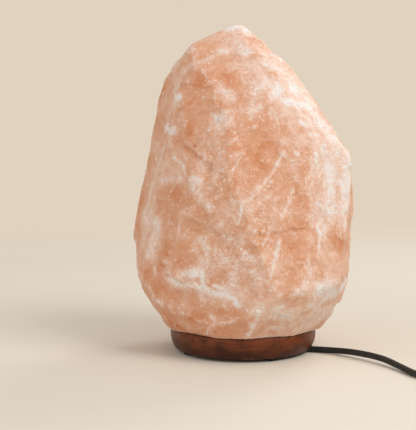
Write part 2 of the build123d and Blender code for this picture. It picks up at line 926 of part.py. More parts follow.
def across_y(radius, start_y, end_y):
    """A cylinder along Y on the cord's axis in the dimmer."""
    lying = Pos(dimmer_x, start_y, cord_axis_height) * Rot(-90, 0, 0)
    return lying * Cylinder(radius, end_y - start_y, align=(Align.CENTER, Align.CENTER, Align.MIN))


def sleeve_holes():
    """The holes in the dimmer's end walls."""
    radius = sleeve_neck_radius + assembly_gap
    deep = dimmer_wall + cut_past
    near = across_y(radius, dimmer_start_y - cut_past, dimmer_start_y + deep)
    return near + across_y(radius, dimmer_end_y - deep, dimmer_end_y + cut_past)


def case_posts():
    """The plan places of the two case screws."""
    return [
        (dimmer_x + case_post_inset_x, dimmer_start_y + dimmer_wall + case_post_inset_y),
        (dimmer_x - case_post_inset_x, dimmer_end_y - dimmer_wall - case_post_inset_y),
    ]


def dimmer_base():
    """The lower half of the case."""
    shell = dimmer_hull(0, dimmer_split_height)
    shell = fillet(shell.faces().sort_by(Axis.Z)[0].edges(), dimmer_bottom_round)
    above = dimmer_split_height + cut_past
    shell -= dimmer_hollow(dimmer_wall, above)
    shell -= sleeve_holes()
    for x, y in case_posts():
        shell += rod(case_post_radius, dimmer_wall, dimmer_split_height, x, y)
        shell -= rod(case_screw_radius + assembly_gap, -cut_past, above, x, y)
        head_top = case_screw_head_height + assembly_gap
        shell -= rod(case_screw_head_radius + assembly_gap, -cut_past, head_top, x, y)
    return shell


def dimmer_cover():
    """The upper half of the case, with its side slots for the wheel and a bearing boss."""
    shell = dimmer_hull(dimmer_split_height, dimmer_height)
    shell = fillet(shell.faces().sort_by(Axis.Z)[-1].edges(), dimmer_top_round)
    below = dimmer_split_height - cut_past
    shell -= dimmer_hollow(below, cover_ceiling)
    boss_bottom = wheel_top + moving_gap
    shell += rod(boss_radius, boss_bottom, cover_ceiling, dimmer_x, dimmer_mid_y)
    for x, y in case_posts():
        shell += rod(case_post_radius, dimmer_split_height, cover_ceiling, x, y)
        shell -= rod(case_screw_radius, below, case_hole_top, x, y)
    shell -= sleeve_holes()
    shell -= rod(wheel_radius + moving_gap, below, boss_bottom, dimmer_x, dimmer_mid_y)
    bearing_top = wheel_top + wheel_stub_length + moving_gap
    bearing_radius = wheel_stub_radius + moving_gap
    return shell - rod(bearing_radius, boss_bottom - cut_past, bearing_top, dimmer_x, dimmer_mid_y)


def dimmer_wheel():
    """The ridged thumbwheel with its upper stub and the shaft into the potentiometer."""
    step = 2 * pi / wheel_ridges
    rim = []
    for index in range(wheel_ridges):
        for share, radius in ((0.0, wheel_radius), (0.5, wheel_radius - wheel_ridge_depth)):
            angle = step * (index + share)
            rim.append((radius * cos(angle), radius * sin(angle)))
    disc = extrude(make_face(Polyline(*rim, close=True)), amount=wheel_thickness)
    wheel = Pos(dimmer_x, dimmer_mid_y, wheel_bottom) * disc
    wheel += rod(wheel_stub_radius, wheel_top, wheel_top + wheel_stub_length, dimmer_x, dimmer_mid_y)
    wheel += rod(wheel_stub_radius, wheel_bottom - wheel_shaft_length, wheel_bottom, dimmer_x, dimmer_mid_y)
    return wheel


def dimmer_potentiometer():
    """The potentiometer under the wheel, with a bore for the wheel's shaft."""
    half = pot_side / 2
    body = block(
        (dimmer_x - half, dimmer_x + half),
        (dimmer_mid_y - half, dimmer_mid_y + half),
        (board_top, pot_top),
    )
    floor = wheel_bottom - wheel_shaft_length - moving_gap
    return body - rod(wheel_stub_radius + moving_gap, floor, pot_top + cut_past, dimmer_x, dimmer_mid_y)


def dimmer_board():
    """The circuit board on the case's floor, cut out round the screw posts."""
    half_x = board_width / 2
    half_y = board_length / 2
    board = block(
        (dimmer_x - half_x, dimmer_x + half_x),
        (dimmer_mid_y - half_y, dimmer_mid_y + half_y),
        (dimmer_wall, board_top),
    )
    for x, y in case_posts():
        board -= rod(case_post_radius + assembly_gap, 0, board_top + cut_past, x, y)
    return board


def dimmer_capacitor():
    """The suppression capacitor beside the incoming cores."""
    left = dimmer_x - dimmer_width / 2 + dimmer_wall + capacitor_side_gap
    near = dimmer_start_y + dimmer_wall + capacitor_end_gap
    body = block(
        (left, left + capacitor_width),
        (near, near + capacitor_length),
        (board_top, board_top + capacitor_height),
    )
    return fillet(body.edges().filter_by(Axis.Z), capacitor_edge)


def sleeve(outer_y, way):
    """A tapered strain relief moulded on the cord: tip outside, neck in the wall, flange inside it."""
    profile = Polyline(
        (0, 0, 0),
        (sleeve_tip_radius, 0, 0),
        (sleeve_root_radius, 0, sleeve_length),
        (sleeve_neck_radius, 0, sleeve_length),
        (sleeve_neck_radius, 0, sleeve_length + dimmer_wall),
        (sleeve_flange_radius, 0, sleeve_length + dimmer_wall),
        (sleeve_flange_radius, 0, sleeve_length + dimmer_wall + sleeve_flange_length),
        (0, 0, sleeve_length + dimmer_wall + sleeve_flange_length),
        close=True,
    )
    solid = revolve(make_face(profile), Axis.Z)
    return Pos(dimmer_x, outer_y, cord_axis_height) * Rot(-90 * way, 0, 0) * solid


def dimmer_core(side, start_y, way):
    """One core from a sleeve's inner face, bent down onto the board."""
    x = dimmer_x + side * core_spacing / 2
    bend_y = start_y + way * core_straight
    path = FilletPolyline(
        (x, start_y, cord_axis_height),
        (x, bend_y, cord_axis_height),
        (x, bend_y, board_top),
        radius=core_bend,
    )
    return wire_tube(path, core_radius)


def case_screw(x, y):
    """A case screw from the underside into the cover's post."""
    head = rod(case_screw_head_radius, assembly_gap, case_screw_head_height, x, y)
    return head + rod(case_screw_radius, case_screw_head_height, case_hole_top - case_screw_end_gap, x, y)


# ---------------------------------------------------------------------------------------- the plug
def plug_body():
    """The moulded plug: a tapered strain relief, narrow shoulders and a wide front."""
    rear = plug_rear_width / 2
    waist = plug_waist_width / 2
    wide = plug_body_width / 2
    front_start = plug_body_length - plug_front_length
    plan = Polyline(
        (-rear, 0),
        (rear, 0),
        (waist, -plug_shoulder_length),
        (wide, -front_start),
        (wide, -plug_body_length),
        (-wide, -plug_body_length),
        (-wide, -front_start),
        (-waist, -plug_shoulder_length),
        close=True,
    )
    body = extrude(make_face(plan), amount=plug_body_thickness / 2, both=True)
    body = fillet(body.edges().filter_by(Axis.Z), plug_edge_round)
    body = fillet(body.faces().sort_by(Axis.Z)[-1].edges(), plug_edge_round)
    body = fillet(body.faces().sort_by(Axis.Z)[0].edges(), plug_edge_round)
    relief_line = Polyline(
        (0, 0, -plug_edge_round),
        (relief_root_radius, 0, -plug_edge_round),
        (relief_root_radius, 0, 0),
        (relief_tip_radius, 0, relief_length),
        (0, 0, relief_length),
        close=True,
    )
    body += Rot(-90, 0, 0) * revolve(make_face(relief_line), Axis.Z)
    for side in (-1, 1):
        hole = Pos(side * pin_spacing / 2, -plug_body_length + pin_root, 0) * Rot(90, 0, 0)
        body -= hole * rod(pin_root_radius, 0, pin_root + cut_past)
    return Pos(coil_exit_x, plug_rear_y, plug_axis_height) * body


def plug_pin(side):
    """A round contact pin with a softened tip and a thinner root in the body."""
    pin = rod(pin_radius, pin_root, pin_root + pin_length)
    pin = fillet(pin.edges().sort_by(Axis.Z)[-1], pin_tip_round)
    pin += rod(pin_root_radius, 0, pin_root)
    start = Pos(coil_exit_x + side * pin_spacing / 2, plug_front_y + pin_root, plug_axis_height)
    return start * Rot(90, 0, 0) * pin


# --------------------------------------------------------------------------------------- cord routes
groove_end = base_bottom_radius + cord_exit_past
cord_exit = outward(groove_angle, groove_end) + UP * lay_height
first_corner = outward(groove_angle, groove_end + first_run) + UP * lay_height

# Laid by hand: out of the groove, a low arch, down onto the table and round to the dimmer.
to_dimmer_points = [
    (cord_exit.X, cord_exit.Y, cord_exit.Z),
    (first_corner.X, first_corner.Y, first_corner.Z),
    (89.0, -36.5, 4.8),
    (108.0, -60.0, 5.2),
    (118.5, -81.0, 3.4),
    (129.5, -111.0, lay_height),
    (143.0, -122.0, lay_height),
    (160.5, -124.0, lay_height),
    (176.5, -116.5, 3.8),
    (dimmer_x, dimmer_tip_y - dimmer_approach, cord_axis_height),
    (dimmer_x, dimmer_tip_y, cord_axis_height),
]
to_coil_points = [
    (dimmer_x, dimmer_out_y, cord_axis_height),
    (dimmer_x, dimmer_out_y + transit_run, cord_axis_height),
    (dimmer_x, dimmer_out_y + 2 * transit_run, coil_bottom_height),
    (dimmer_x, coil_entry_y, coil_bottom_height),
]
to_plug_points = [
    (coil_exit_x, coil_exit_y, coil_top_height),
    (coil_exit_x, coil_exit_y - transit_run, coil_top_height),
    (coil_exit_x, coil_exit_y - 2 * transit_run, plug_axis_height),
    (coil_exit_x, plug_relief_y, plug_axis_height),
]

# ------------------------------------------------------------------------------------------- output
save(salt_crystal(), "salt_crystal")
save(wood_base(), "wood_base")
for number, foot in enumerate(around(base_foot(), foot_count, foot_first_angle), 1):
    save(foot, f"base_foot_{number}")
for number, screw in enumerate(around(base_screw(), screw_count, screw_first_angle), 1):
    save(screw, f"base_screw_{number}")
for number, plug in enumerate(around(screw_plug(), screw_count, screw_first_angle), 1):
    save(plug, f"screw_plug_{number}")

save(holder_flange(), "holder_flange")
for number, leaf in enumerate(around(clip(), clip_count, clip_first_angle), 1):
    save(leaf, f"spring_clip_{number}")
save(holder_cap(), "holder_cap")
save(cord_grip(), "cord_grip")
save(holder_body(), "holder_body")
save(holder_insert(), "holder_insert")
save(screw_shell(), "screw_shell")
save(side_contact(), "side_contact")
save(centre_contact(), "centre_contact")
for number, side in ((1, -1), (2, 1)):
    save(Pos(side * contact_offset, 0, 0) * terminal(), f"terminal_{number}")
    save(holder_core(side), f"holder_core_{number}")

save(bulb_glass(), "bulb_glass")
save(bulb_cap(), "bulb_cap")
save(bulb_insulator(), "bulb_insulator")
save(bulb_tip(), "bulb_tip")
save(bulb_stem(), "bulb_stem")
for number, side in ((1, -1), (2, 1)):
    save(wire_tube(lead_path(side), lead_radius), f"lead_wire_{number}")
save(filament(), "bulb_filament")

lead_in = lead_in_path()
save(wire_tube(lead_in, cord_radius), "cord_lead_in")
to_dimmer, to_dimmer_length = free_cord("cord_to_dimmer", to_dimmer_points)
save(to_dimmer, "cord_to_dimmer")
to_coil, to_coil_length = free_cord("cord_to_coil", to_coil_points)
save(to_coil, "cord_to_coil")
coil_line = coil_path()
coil = wire_tube(coil_line, cord_radius)
save(coil, "cord_coil")
to_plug, to_plug_length = free_cord("cord_to_plug", to_plug_points)
save(to_plug, "cord_to_plug")
save(cord_tie(1), "cord_tie_1")
save(cord_tie(-1), "cord_tie_2")

save(dimmer_base(), "dimmer_base")
save(dimmer_cover(), "dimmer_cover")
save(dimmer_wheel(), "dimmer_wheel")
save(dimmer_potentiometer(), "dimmer_potentiometer")
save(dimmer_board(), "dimmer_board")
save(dimmer_capacitor(), "dimmer_capacitor")
save(sleeve(dimmer_tip_y, 1), "dimmer_sleeve_1")
save(sleeve(dimmer_out_y, -1), "dimmer_sleeve_2")
flange_depth = dimmer_wall + sleeve_flange_length
for number, side in ((1, -1), (2, 1)):
    save(dimmer_core(side, dimmer_start_y + flange_depth, 1), f"dimmer_core_{number}")
    save(dimmer_core(side, dimmer_end_y - flange_depth, -1), f"dimmer_core_{number + 2}")
for number, (x, y) in enumerate(case_posts(), 1):
    save(case_screw(x, y), f"dimmer_screw_{number}")

save(plug_body(), "plug_body")
for number, side in ((1, -1), (2, 1)):
    save(plug_pin(side), f"plug_pin_{number}")

coil_volume = coil.volume / (pi * cord_radius**2 * coil_line.length)
free_length = to_dimmer_length + to_coil_length + coil_line.length + to_plug_length
print(f"cord_lead_in: {lead_in.length:.0f} mm inside the base, bend {lead_in_bend:.0f} mm")
print(f"cord_coil: {coil_line.length:.0f} mm long, volume {coil_volume:.4f} of section x length")
print(f"cord_coil: least gap to itself {least_gap(coil_line):.2f} mm")
print(f"free cord: {free_length:.0f} mm, with the dimmer {free_length + dimmer_out_y - dimmer_tip_y:.0f} mm")
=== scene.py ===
import json
import math

import bpy
import numpy as np
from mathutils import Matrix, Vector, noise
from mathutils.bvhtree import BVHTree


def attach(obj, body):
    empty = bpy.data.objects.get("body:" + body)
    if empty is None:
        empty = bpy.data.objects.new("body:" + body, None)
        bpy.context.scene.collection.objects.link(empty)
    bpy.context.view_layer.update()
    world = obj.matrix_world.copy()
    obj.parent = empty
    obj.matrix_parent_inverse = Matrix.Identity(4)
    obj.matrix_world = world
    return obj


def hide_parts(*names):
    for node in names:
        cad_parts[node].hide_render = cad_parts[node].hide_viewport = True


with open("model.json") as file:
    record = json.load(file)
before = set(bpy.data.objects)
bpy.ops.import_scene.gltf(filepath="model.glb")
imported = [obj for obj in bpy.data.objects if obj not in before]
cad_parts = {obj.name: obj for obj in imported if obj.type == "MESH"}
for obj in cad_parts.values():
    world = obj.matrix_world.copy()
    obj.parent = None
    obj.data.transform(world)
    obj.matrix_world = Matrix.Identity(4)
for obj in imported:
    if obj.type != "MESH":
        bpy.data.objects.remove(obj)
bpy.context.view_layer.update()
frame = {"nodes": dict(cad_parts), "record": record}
nodes = frame["nodes"]
scene = bpy.context.scene
MM = 0.001


# ------------------------------------------------------------------------------------------ camera
CAMERA_PLACE = (-0.029, -1.125, 0.239)
CAMERA_TILT = 6.46  # degrees down from level
CAMERA_LENS = 119.16  # millimetres
SENSOR_WIDTH = 36.0
VIEW_WIDTH = 416  # pixels
VIEW_HEIGHT = 430

camera_data = bpy.data.cameras.new("camera")
camera_data.sensor_fit = "HORIZONTAL"
camera_data.sensor_width = SENSOR_WIDTH
camera_data.lens = CAMERA_LENS
camera = bpy.data.objects.new("camera", camera_data)
camera.location = CAMERA_PLACE
camera.rotation_euler = (math.radians(90 - CAMERA_TILT), 0, 0)
scene.collection.objects.link(camera)
scene.camera = camera


# ------------------------------------------------------------------------------------------- cords
CORD_RADIUS = 2.5  # millimetres, as the part's source has its sizes
COIL_CENTRE = (225.5, 47.0)
COIL_OUTER_RADIUS = 40.0
COIL_PITCH = 5.5
COIL_LAYER_TURNS = 3.5
COIL_CLIMB_TURNS = 0.5
COIL_START = 180.0  # degrees about its centre, and clockwise from there
COIL_BOTTOM = 3.6
COIL_RISE = 5.45
COIL_POINTS = 16  # per turn

to_dimmer = [
    (55.185, -14.272, 2.6),
    (70.965, -18.353, 2.6),
    (89.0, -36.5, 4.8),
    (108.0, -60.0, 5.2),
    (118.5, -81.0, 3.4),
    (129.5, -111.0, 2.6),
    (143.0, -122.0, 2.6),
    (160.5, -124.0, 2.6),
    (176.5, -116.5, 3.8),
    (185.5, -101.5, 7.0),
    (185.5, -84.0, 7.0),
]
to_coil = [(185.5, 12.0, 7.0), (185.5, 22.0, 7.0), (185.5, 32.0, 3.6), (185.5, 42.0, 3.6)]
to_plug = [(265.5, 42.0, 9.05), (265.5, 32.0, 9.05), (265.5, 22.0, 6.95), (265.5, 12.0, 6.95)]


def coil_point(turns):
    """A control point of the coil: in on the lower layer, up in the half turn between, out above."""
    past = turns - COIL_LAYER_TURNS
    inner = COIL_OUTER_RADIUS - COIL_LAYER_TURNS * COIL_PITCH
    climb = min(max(past / COIL_CLIMB_TURNS, 0.0), 1.0)
    if past <= 0:
        radius = COIL_OUTER_RADIUS - turns * COIL_PITCH
    elif past < COIL_CLIMB_TURNS:
        radius = inner - COIL_PITCH * min(past, COIL_CLIMB_TURNS - past)
    else:
        radius = inner + (past - COIL_CLIMB_TURNS) * COIL_PITCH
    radius /= math.cos(math.pi / COIL_POINTS)
    angle = math.radians(COIL_START - 360 * turns)
    height = COIL_BOTTOM + COIL_RISE * (1 - math.cos(math.pi * climb)) / 2
    centre_x, centre_y = COIL_CENTRE
    return (centre_x + radius * math.cos(angle), centre_y + radius * math.sin(angle), height)


def cord_curve(name, points):
    """A round cord on one smooth line through the pull of its control points, in millimetres."""
    curve = bpy.data.curves.new(name, "CURVE")
    curve.dimensions = "3D"
    curve.bevel_depth = 1.0
    curve.bevel_resolution = 6
    curve.resolution_u = 8
    curve.use_fill_caps = True
    spline = curve.splines.new("NURBS")
    spline.points.add(len(points) - 1)
    for control, place in zip(spline.points, points):
        control.co = (*(value * MM for value in place), 1.0)
        control.radius = CORD_RADIUS * MM
    spline.order_u = 3
    spline.use_endpoint_u = True
    made = bpy.data.objects.new(name, curve)
    scene.collection.objects.link(made)
    return made


cord_1 = cord_curve("cord_1", to_dimmer)
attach(cord_1, "lamp")
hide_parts("cord_to_dimmer")

coil_steps = int((2 * COIL_LAYER_TURNS + COIL_CLIMB_TURNS) * COIL_POINTS)
coil_points = [coil_point(step / COIL_POINTS) for step in range(coil_steps + 1)]
cord_2 = cord_curve("cord_2", to_coil + coil_points + to_plug)
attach(cord_2, "lamp")
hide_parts("cord_to_coil", "cord_coil", "cord_to_plug")


# --------------------------------------------------------------------------------------- materials
def colour(red, green, blue):
    """A colour given as it shows on a screen, 0 to 255, for a shader."""
    shares = (value / 255 for value in (red, green, blue))
    linear = [s / 12.92 if s <= 0.04045 else ((s + 0.055) / 1.055) ** 2.4 for s in shares]
    return (*linear, 1.0)


class Surface:
    """A material's nodes, with a short call for each kind that the pieces need."""

    def __init__(self, name, **sockets):
        self.material = bpy.data.materials.new(name)
        self.material.use_nodes = True
        self.tree = self.material.node_tree
        self.shader = self.tree.nodes["Principled BSDF"]
        self.place = self.node("ShaderNodeTexCoord").outputs["Object"]
        for socket, value in sockets.items():
            self.set(socket.replace("_", " ").title().replace("Ior", "IOR"), value)

    def node(self, kind, **settings):
        made = self.tree.nodes.new(kind)
        for key, value in settings.items():
            setattr(made, key, value)
        return made

    def feed(self, socket, value):
        """A socket's link, or its own value."""
        if isinstance(value, bpy.types.NodeSocket):
            self.tree.links.new(value, socket)
        else:
            socket.default_value = value

    def set(self, name, value):
        self.feed(self.shader.inputs[name], value)

    def scaled(self, x, y, z, turn=(0, 0, 0)):
        """The place, stretched along each axis and turned in degrees."""
        made = self.node("ShaderNodeMapping")
        made.inputs["Scale"].default_value = (x, y, z)
        made.inputs["Rotation"].default_value = [math.radians(angle) for angle in turn]
        self.feed(made.inputs["Vector"], self.place)
        return made.outputs["Vector"]

    def grain(self, scale, detail=4.0, roughness=0.5, place=None, distortion=0.0):
        """Cloudy noise, about 0.5."""
        made = self.node("ShaderNodeTexNoise")
        self.feed(made.inputs["Vector"], place or self.place)
        made.inputs["Scale"].default_value = scale
        made.inputs["Detail"].default_value = detail
        made.inputs["Roughness"].default_value = roughness
        made.inputs["Distortion"].default_value = distortion
        return made.outputs["Fac"]

    def cells(self, scale, feature="F1", output="Distance", place=None):
        """Crystal-like cells."""
        made = self.node("ShaderNodeTexVoronoi", feature=feature)
        self.feed(made.inputs["Vector"], place or self.place)
        made.inputs["Scale"].default_value = scale
        return made.outputs[output]

    def warped(self, scale, reach):
        """The place, shifted about by noise as far as a reach in metres."""
        shift = self.node("ShaderNodeTexNoise")
        self.feed(shift.inputs["Vector"], self.place)
        shift.inputs["Scale"].default_value = scale
        made = self.node("ShaderNodeVectorMath", operation="MULTIPLY_ADD")
        self.feed(made.inputs[0], shift.outputs["Color"])
        made.inputs[1].default_value = (reach, reach, reach)
        self.feed(made.inputs[2], self.place)
        return made.outputs["Vector"]

    def painted(self, name):
        """A value that the piece's own vertices carry."""
        return self.node("ShaderNodeAttribute", attribute_name=name).outputs["Fac"]

    def level(self, value, low, high, to_low=0.0, to_high=1.0, smooth=True):
        """A value's range mapped to another and held there."""
        made = self.node("ShaderNodeMapRange", interpolation_type="SMOOTHSTEP" if smooth else "LINEAR")
        self.feed(made.inputs["Value"], value)
        made.inputs["From Min"].default_value = low
        made.inputs["From Max"].default_value = high
        made.inputs["To Min"].default_value = to_low
        made.inputs["To Max"].default_value = to_high
        return made.outputs["Result"]

    def maths(self, operation, first, second=0.0):
        made = self.node("ShaderNodeMath", operation=operation)
        self.feed(made.inputs[0], first)
        self.feed(made.inputs[1], second)
        return made.outputs["Value"]

    def plus(self, first, second):
        return self.maths("ADD", first, second)

    def times(self, first, second):
        return self.maths("MULTIPLY", first, second)

    def weighed(self, *parts):
        """The sum of values, each times its weight."""
        products = [self.times(value, weight) for value, weight in parts]
        total = products[0]
        for product in products[1:]:
            total = self.plus(total, product)
        return total

    def part_of(self, axis):
        """The place along one axis, in metres."""
        made = self.node("ShaderNodeSeparateXYZ")
        self.feed(made.inputs[0], self.place)
        return made.outputs[axis]

    def blend(self, share, first, second):
        """Two colours mixed."""
        made = self.node("ShaderNodeMix", data_type="RGBA")
        self.feed(made.inputs["Factor"], share)
        self.feed(made.inputs["A"], first)
        self.feed(made.inputs["B"], second)
        return made.outputs["Result"]

    def bump(self, height, depth, under=None):
        """Fine relief, its depth in metres, on top of any relief under it."""
        made = self.node("ShaderNodeBump")
        made.inputs["Strength"].default_value = 1.0
        made.inputs["Distance"].default_value = depth
        self.feed(made.inputs["Height"], height)
        if under:
            self.feed(made.inputs["Normal"], under)
        return made.outputs["Normal"]


def moulded(name, shade, lighter, roughness, texture=1600.0, depth=0.00003, coat=0.0):
    """Moulded plastic, rubber or glaze: faint clouding, a fine moulded texture and uneven gloss."""
    surface = Surface(name, coat_weight=coat)
    clouding = surface.level(surface.grain(60.0, 3.0), 0.35, 0.65)
    surface.set("Base Color", surface.blend(clouding, colour(*shade), colour(*lighter)))
    smears = surface.grain(140.0, 4.0)
    surface.set("Roughness", surface.level(smears, 0.3, 0.7, roughness - 0.06, roughness + 0.08))
    surface.set("Normal", surface.bump(surface.grain(texture, 2.0, 0.6), depth))
    return surface.material


def metal(name, shade, darker, roughness, brushed=(900.0, 60.0, 900.0)):
    """Sheet or turned metal: drawn lines, faint tarnish and uneven gloss."""
    surface = Surface(name, metallic=1.0)
    lines = surface.grain(1.0, 3.0, 0.6, surface.scaled(*brushed))
    tarnish = surface.level(surface.grain(90.0, 5.0, 0.6), 0.4, 0.75)
    surface.set("Base Color", surface.blend(tarnish, colour(*shade), colour(*darker)))
    surface.set("Roughness", surface.level(lines, 0.3, 0.7, roughness - 0.08, roughness + 0.12))
    surface.set("Normal", surface.bump(lines, 0.00001))
    return surface.material


class Salt(Surface):
    """Pink rock salt: cloudy salmon, crumbling white frost, hairline veins, painted highlights of single
    crystals and painted shade as deeper orange.
    """

    CLEAR = colour(214, 139, 94)
    CLOUDY = colour(223, 165, 131)
    PALE = colour(235, 195, 172)
    CRACK = colour(247, 225, 212)
    VEIN = colour(246, 224, 211)
    HAZE = colour(246, 219, 206)
    # Painted highlight: the white of light glinting off single crystals.
    PAINTED_GLINT = colour(252, 238, 230)
    FROST = colour(247, 241, 238)
    RUST = colour(176, 84, 52)
    SCATTER = (1.0, 0.55, 0.38)  # how far red, green and blue light get into the stone, as shares

    def __init__(self):
        super().__init__("salt", specular_ior_level=0.45, subsurface_weight=0.25, subsurface_scale=0.006)
        self.set("Subsurface Radius", self.SCATTER)
        self.frost = self.painted("frost")
        # Deeper orange where the stone is clear, and painted shade as deeper orange in hollows, down the
        # left side and low at the left.
        self.deep_and_shade = self.painted("deep_and_shade")
        self.mottle = self.grain(95.0, 6.0, 0.62, distortion=0.4)
        self.fine = self.grain(330.0, 5.0, 0.75)
        self.grit = self.grain(900.0, 3.0, 0.7)
        self.crumbs = self.cells(620.0, output="Color")
        self.ragged = self.plus(self.weighed((self.mottle, 0.8), (self.fine, 0.9), (self.grit, 0.7)), -1.2)
        self.bent = self.warped(190.0, 0.006)

        cover = self.frost_cover()
        shade = self.with_veins(self.with_cracks(self.body()))
        shade = self.with_painted_glints(self.with_haze(shade))
        shade = self.with_specks(self.blend(cover, shade, self.FROST))
        self.set("Base Color", shade)
        self.set("Roughness", self.plus(self.level(self.fine, 0.3, 0.7, 0.4, 0.58), self.times(cover, 0.2)))
        self.set("Normal", self.relief())

    def body(self):
        """The cloudy body, deeper where the stone is clear and where shade is painted, and pale where it is
        full of cracks.
        """
        broad = self.grain(26.0, 6.0, 0.62, distortion=0.3)
        speckle = self.plus(self.weighed((self.fine, 0.2), (self.grit, 0.12)), -0.16)
        speckle = self.times(speckle, self.level(self.deep_and_shade, 0.1, 0.8, 1.0, 0.35))
        tone = self.weighed((broad, 0.5), (self.mottle, 0.5), (self.deep_and_shade, -0.19), (self.frost, 0.16))
        tone = self.plus(tone, speckle)
        shade = self.blend(self.level(tone, 0.26, 0.44), self.CLEAR, self.CLOUDY)
        return self.blend(self.level(tone, 0.42, 0.62), shade, self.PALE)

    def with_cracks(self, shade):
        """Short cracks inside the stone."""
        cracks = self.level(self.cells(210.0, "DISTANCE_TO_EDGE", place=self.bent), 0.0, 0.11, 1.0, 0.0)
        patches = self.level(self.plus(self.fine, self.times(self.frost, 0.3)), 0.5, 0.68)
        return self.blend(self.times(self.times(cracks, patches), 0.4), shade, self.CRACK)

    def with_veins(self, shade):
        """Hairline veins, steep and slightly leaning, where a noise crosses its middle value."""
        steep = self.scaled(60.0, 60.0, 15.0, (0, -14, 0))
        past_middle = self.plus(self.grain(1.0, 4.0, 0.5, steep, 0.3), -0.5)
        veins = self.level(self.maths("ABSOLUTE", past_middle), 0.001, 0.008, 1.0, 0.0)
        patches = self.grain(34.0, 3.0, place=self.scaled(1, 1, 1, (0, 40, 0)))
        veins = self.times(veins, self.level(patches, 0.54, 0.66))
        return self.blend(self.times(veins, 0.45), shade, self.VEIN)

    def with_haze(self, shade):
        """A pale haze where there is frost."""
        haze = self.level(self.plus(self.frost, self.times(self.ragged, 0.8)), 0.1, 0.95, 0.0, 0.8)
        return self.blend(haze, shade, self.HAZE)

    def with_painted_glints(self, shade):
        """Painted highlights: small white sparkles off single crystals' faces, painted into the colour."""
        painted_glints = self.level(self.times(self.crumbs, self.grit), 0.42, 0.5)
        painted_glints = self.times(painted_glints, self.level(self.mottle, 0.42, 0.6, 0.15, 0.85))
        return self.blend(painted_glints, shade, self.PAINTED_GLINT)

    def frost_cover(self):
        """How far white frost covers the stone, its edge broken up into crumbs and crazing."""
        crazing = self.level(self.cells(520.0, "DISTANCE_TO_EDGE", place=self.bent), 0.0, 0.16, 1.0, 0.0)
        crumble = self.plus(self.weighed((self.ragged, 1.9), (crazing, 0.22), (self.crumbs, 0.3)), -0.15)
        crumble = self.times(crumble, self.level(self.frost, 0.0, 0.4, 0.5, 1.0))
        return self.level(self.plus(self.frost, crumble), 0.55, 1.15)

    def with_specks(self, shade):
        """Rare rust-brown specks."""
        specks = self.level(self.cells(38.0), 0.03, 0.06, 1.0, 0.0)
        specks = self.times(specks, self.level(self.cells(38.0, output="Color"), 0.72, 0.8))
        return self.blend(self.times(specks, 0.75), shade, self.RUST)

    def relief(self):
        """A rough surface, roughest where there is frost, under the faces of small crystals."""
        height = self.times(self.grain(420.0, 5.0, 0.7), self.plus(self.times(self.frost, 0.9), 0.55))
        return self.bump(self.cells(520.0), 0.0004, under=self.bump(height, 0.0008))


WOOD_DARK = colour(62, 23, 5)
WOOD_LIGHT = colour(122, 58, 22)
WOOD_FIBRE = colour(48, 19, 9)
WOOD_PIT = colour(38, 15, 9)
# Painted shade: the colour that the wood darkens to towards the floor, where less light falls.
WOOD_PAINTED_SHADE = colour(40, 12, 3)
WOOD_SHADE_HEIGHTS = (0.003, 0.017)  # metres over the floor, where the darkening is full and where it ends
WOOD_SCUFF = colour(176, 112, 74)


def wood_material():
    """Turned hardwood under a red-brown stain: grain along X, painted shade towards the floor, worn, satin.
    """
    surface = Surface("wood", coat_weight=0.12, coat_roughness=0.32, specular_ior_level=0.25)
    along = surface.scaled(14.0, 150.0, 210.0)
    figure = surface.grain(1.0, 6.0, 0.6, along, 0.8)
    fibre = surface.grain(1.0, 4.0, 0.7, surface.scaled(60.0, 900.0, 1200.0))
    cloud = surface.grain(45.0, 5.0, 0.6)
    tone = surface.weighed((figure, 0.55), (cloud, 0.45))
    shade = surface.blend(surface.level(tone, 0.34, 0.62), WOOD_DARK, WOOD_LIGHT)
    shade = surface.blend(surface.times(surface.level(fibre, 0.5, 0.75), 0.4), shade, WOOD_FIBRE)
    pits = surface.level(surface.cells(120.0, place=surface.scaled(0.5, 1.0, 1.6)), 0.06, 0.16, 1.0, 0.0)
    pits = surface.times(pits, surface.level(surface.grain(70.0), 0.54, 0.62))
    shade = surface.blend(surface.times(pits, 0.6), shade, WOOD_PIT)
    # Painted shade: darker towards the floor.
    low = surface.level(surface.part_of("Z"), *WOOD_SHADE_HEIGHTS, 0.6, 0.0)
    shade = surface.blend(low, shade, WOOD_PAINTED_SHADE)
    scuffs = surface.level(surface.grain(1.0, 6.0, 0.75, surface.scaled(60.0, 60.0, 130.0)), 0.6, 0.72)
    shade = surface.blend(surface.times(scuffs, 0.5), shade, WOOD_SCUFF)
    surface.set("Base Color", shade)
    surface.set("Roughness", surface.level(cloud, 0.3, 0.7, 0.34, 0.5))
    surface.set("Normal", surface.bump(figure, 0.00012, surface.bump(fibre, 0.00006)))
    return surface.material


def glass_material():
    """Clear blown glass with the faintest draw lines."""
    surface = Surface("bulb_glass", transmission_weight=1.0, ior=1.46)
    surface.set("Base Color", (0.97, 0.98, 0.98, 1.0))
    lines = surface.grain(1.0, 2.0, 0.5, surface.scaled(90.0, 90.0, 30.0))
    surface.set("Roughness", surface.level(lines, 0.3, 0.7, 0.01, 0.04))
    surface.set("Normal", surface.bump(lines, 0.00004))
    return surface.material


PIN_BRIGHT = colour(206, 198, 176)
PIN_DULL = colour(176, 164, 138)
PIN_COLLAR = colour(26, 26, 27)
PIN_COLLAR_EDGE = (-0.0562, -0.0559)  # metres along Y, from bare metal to full collar


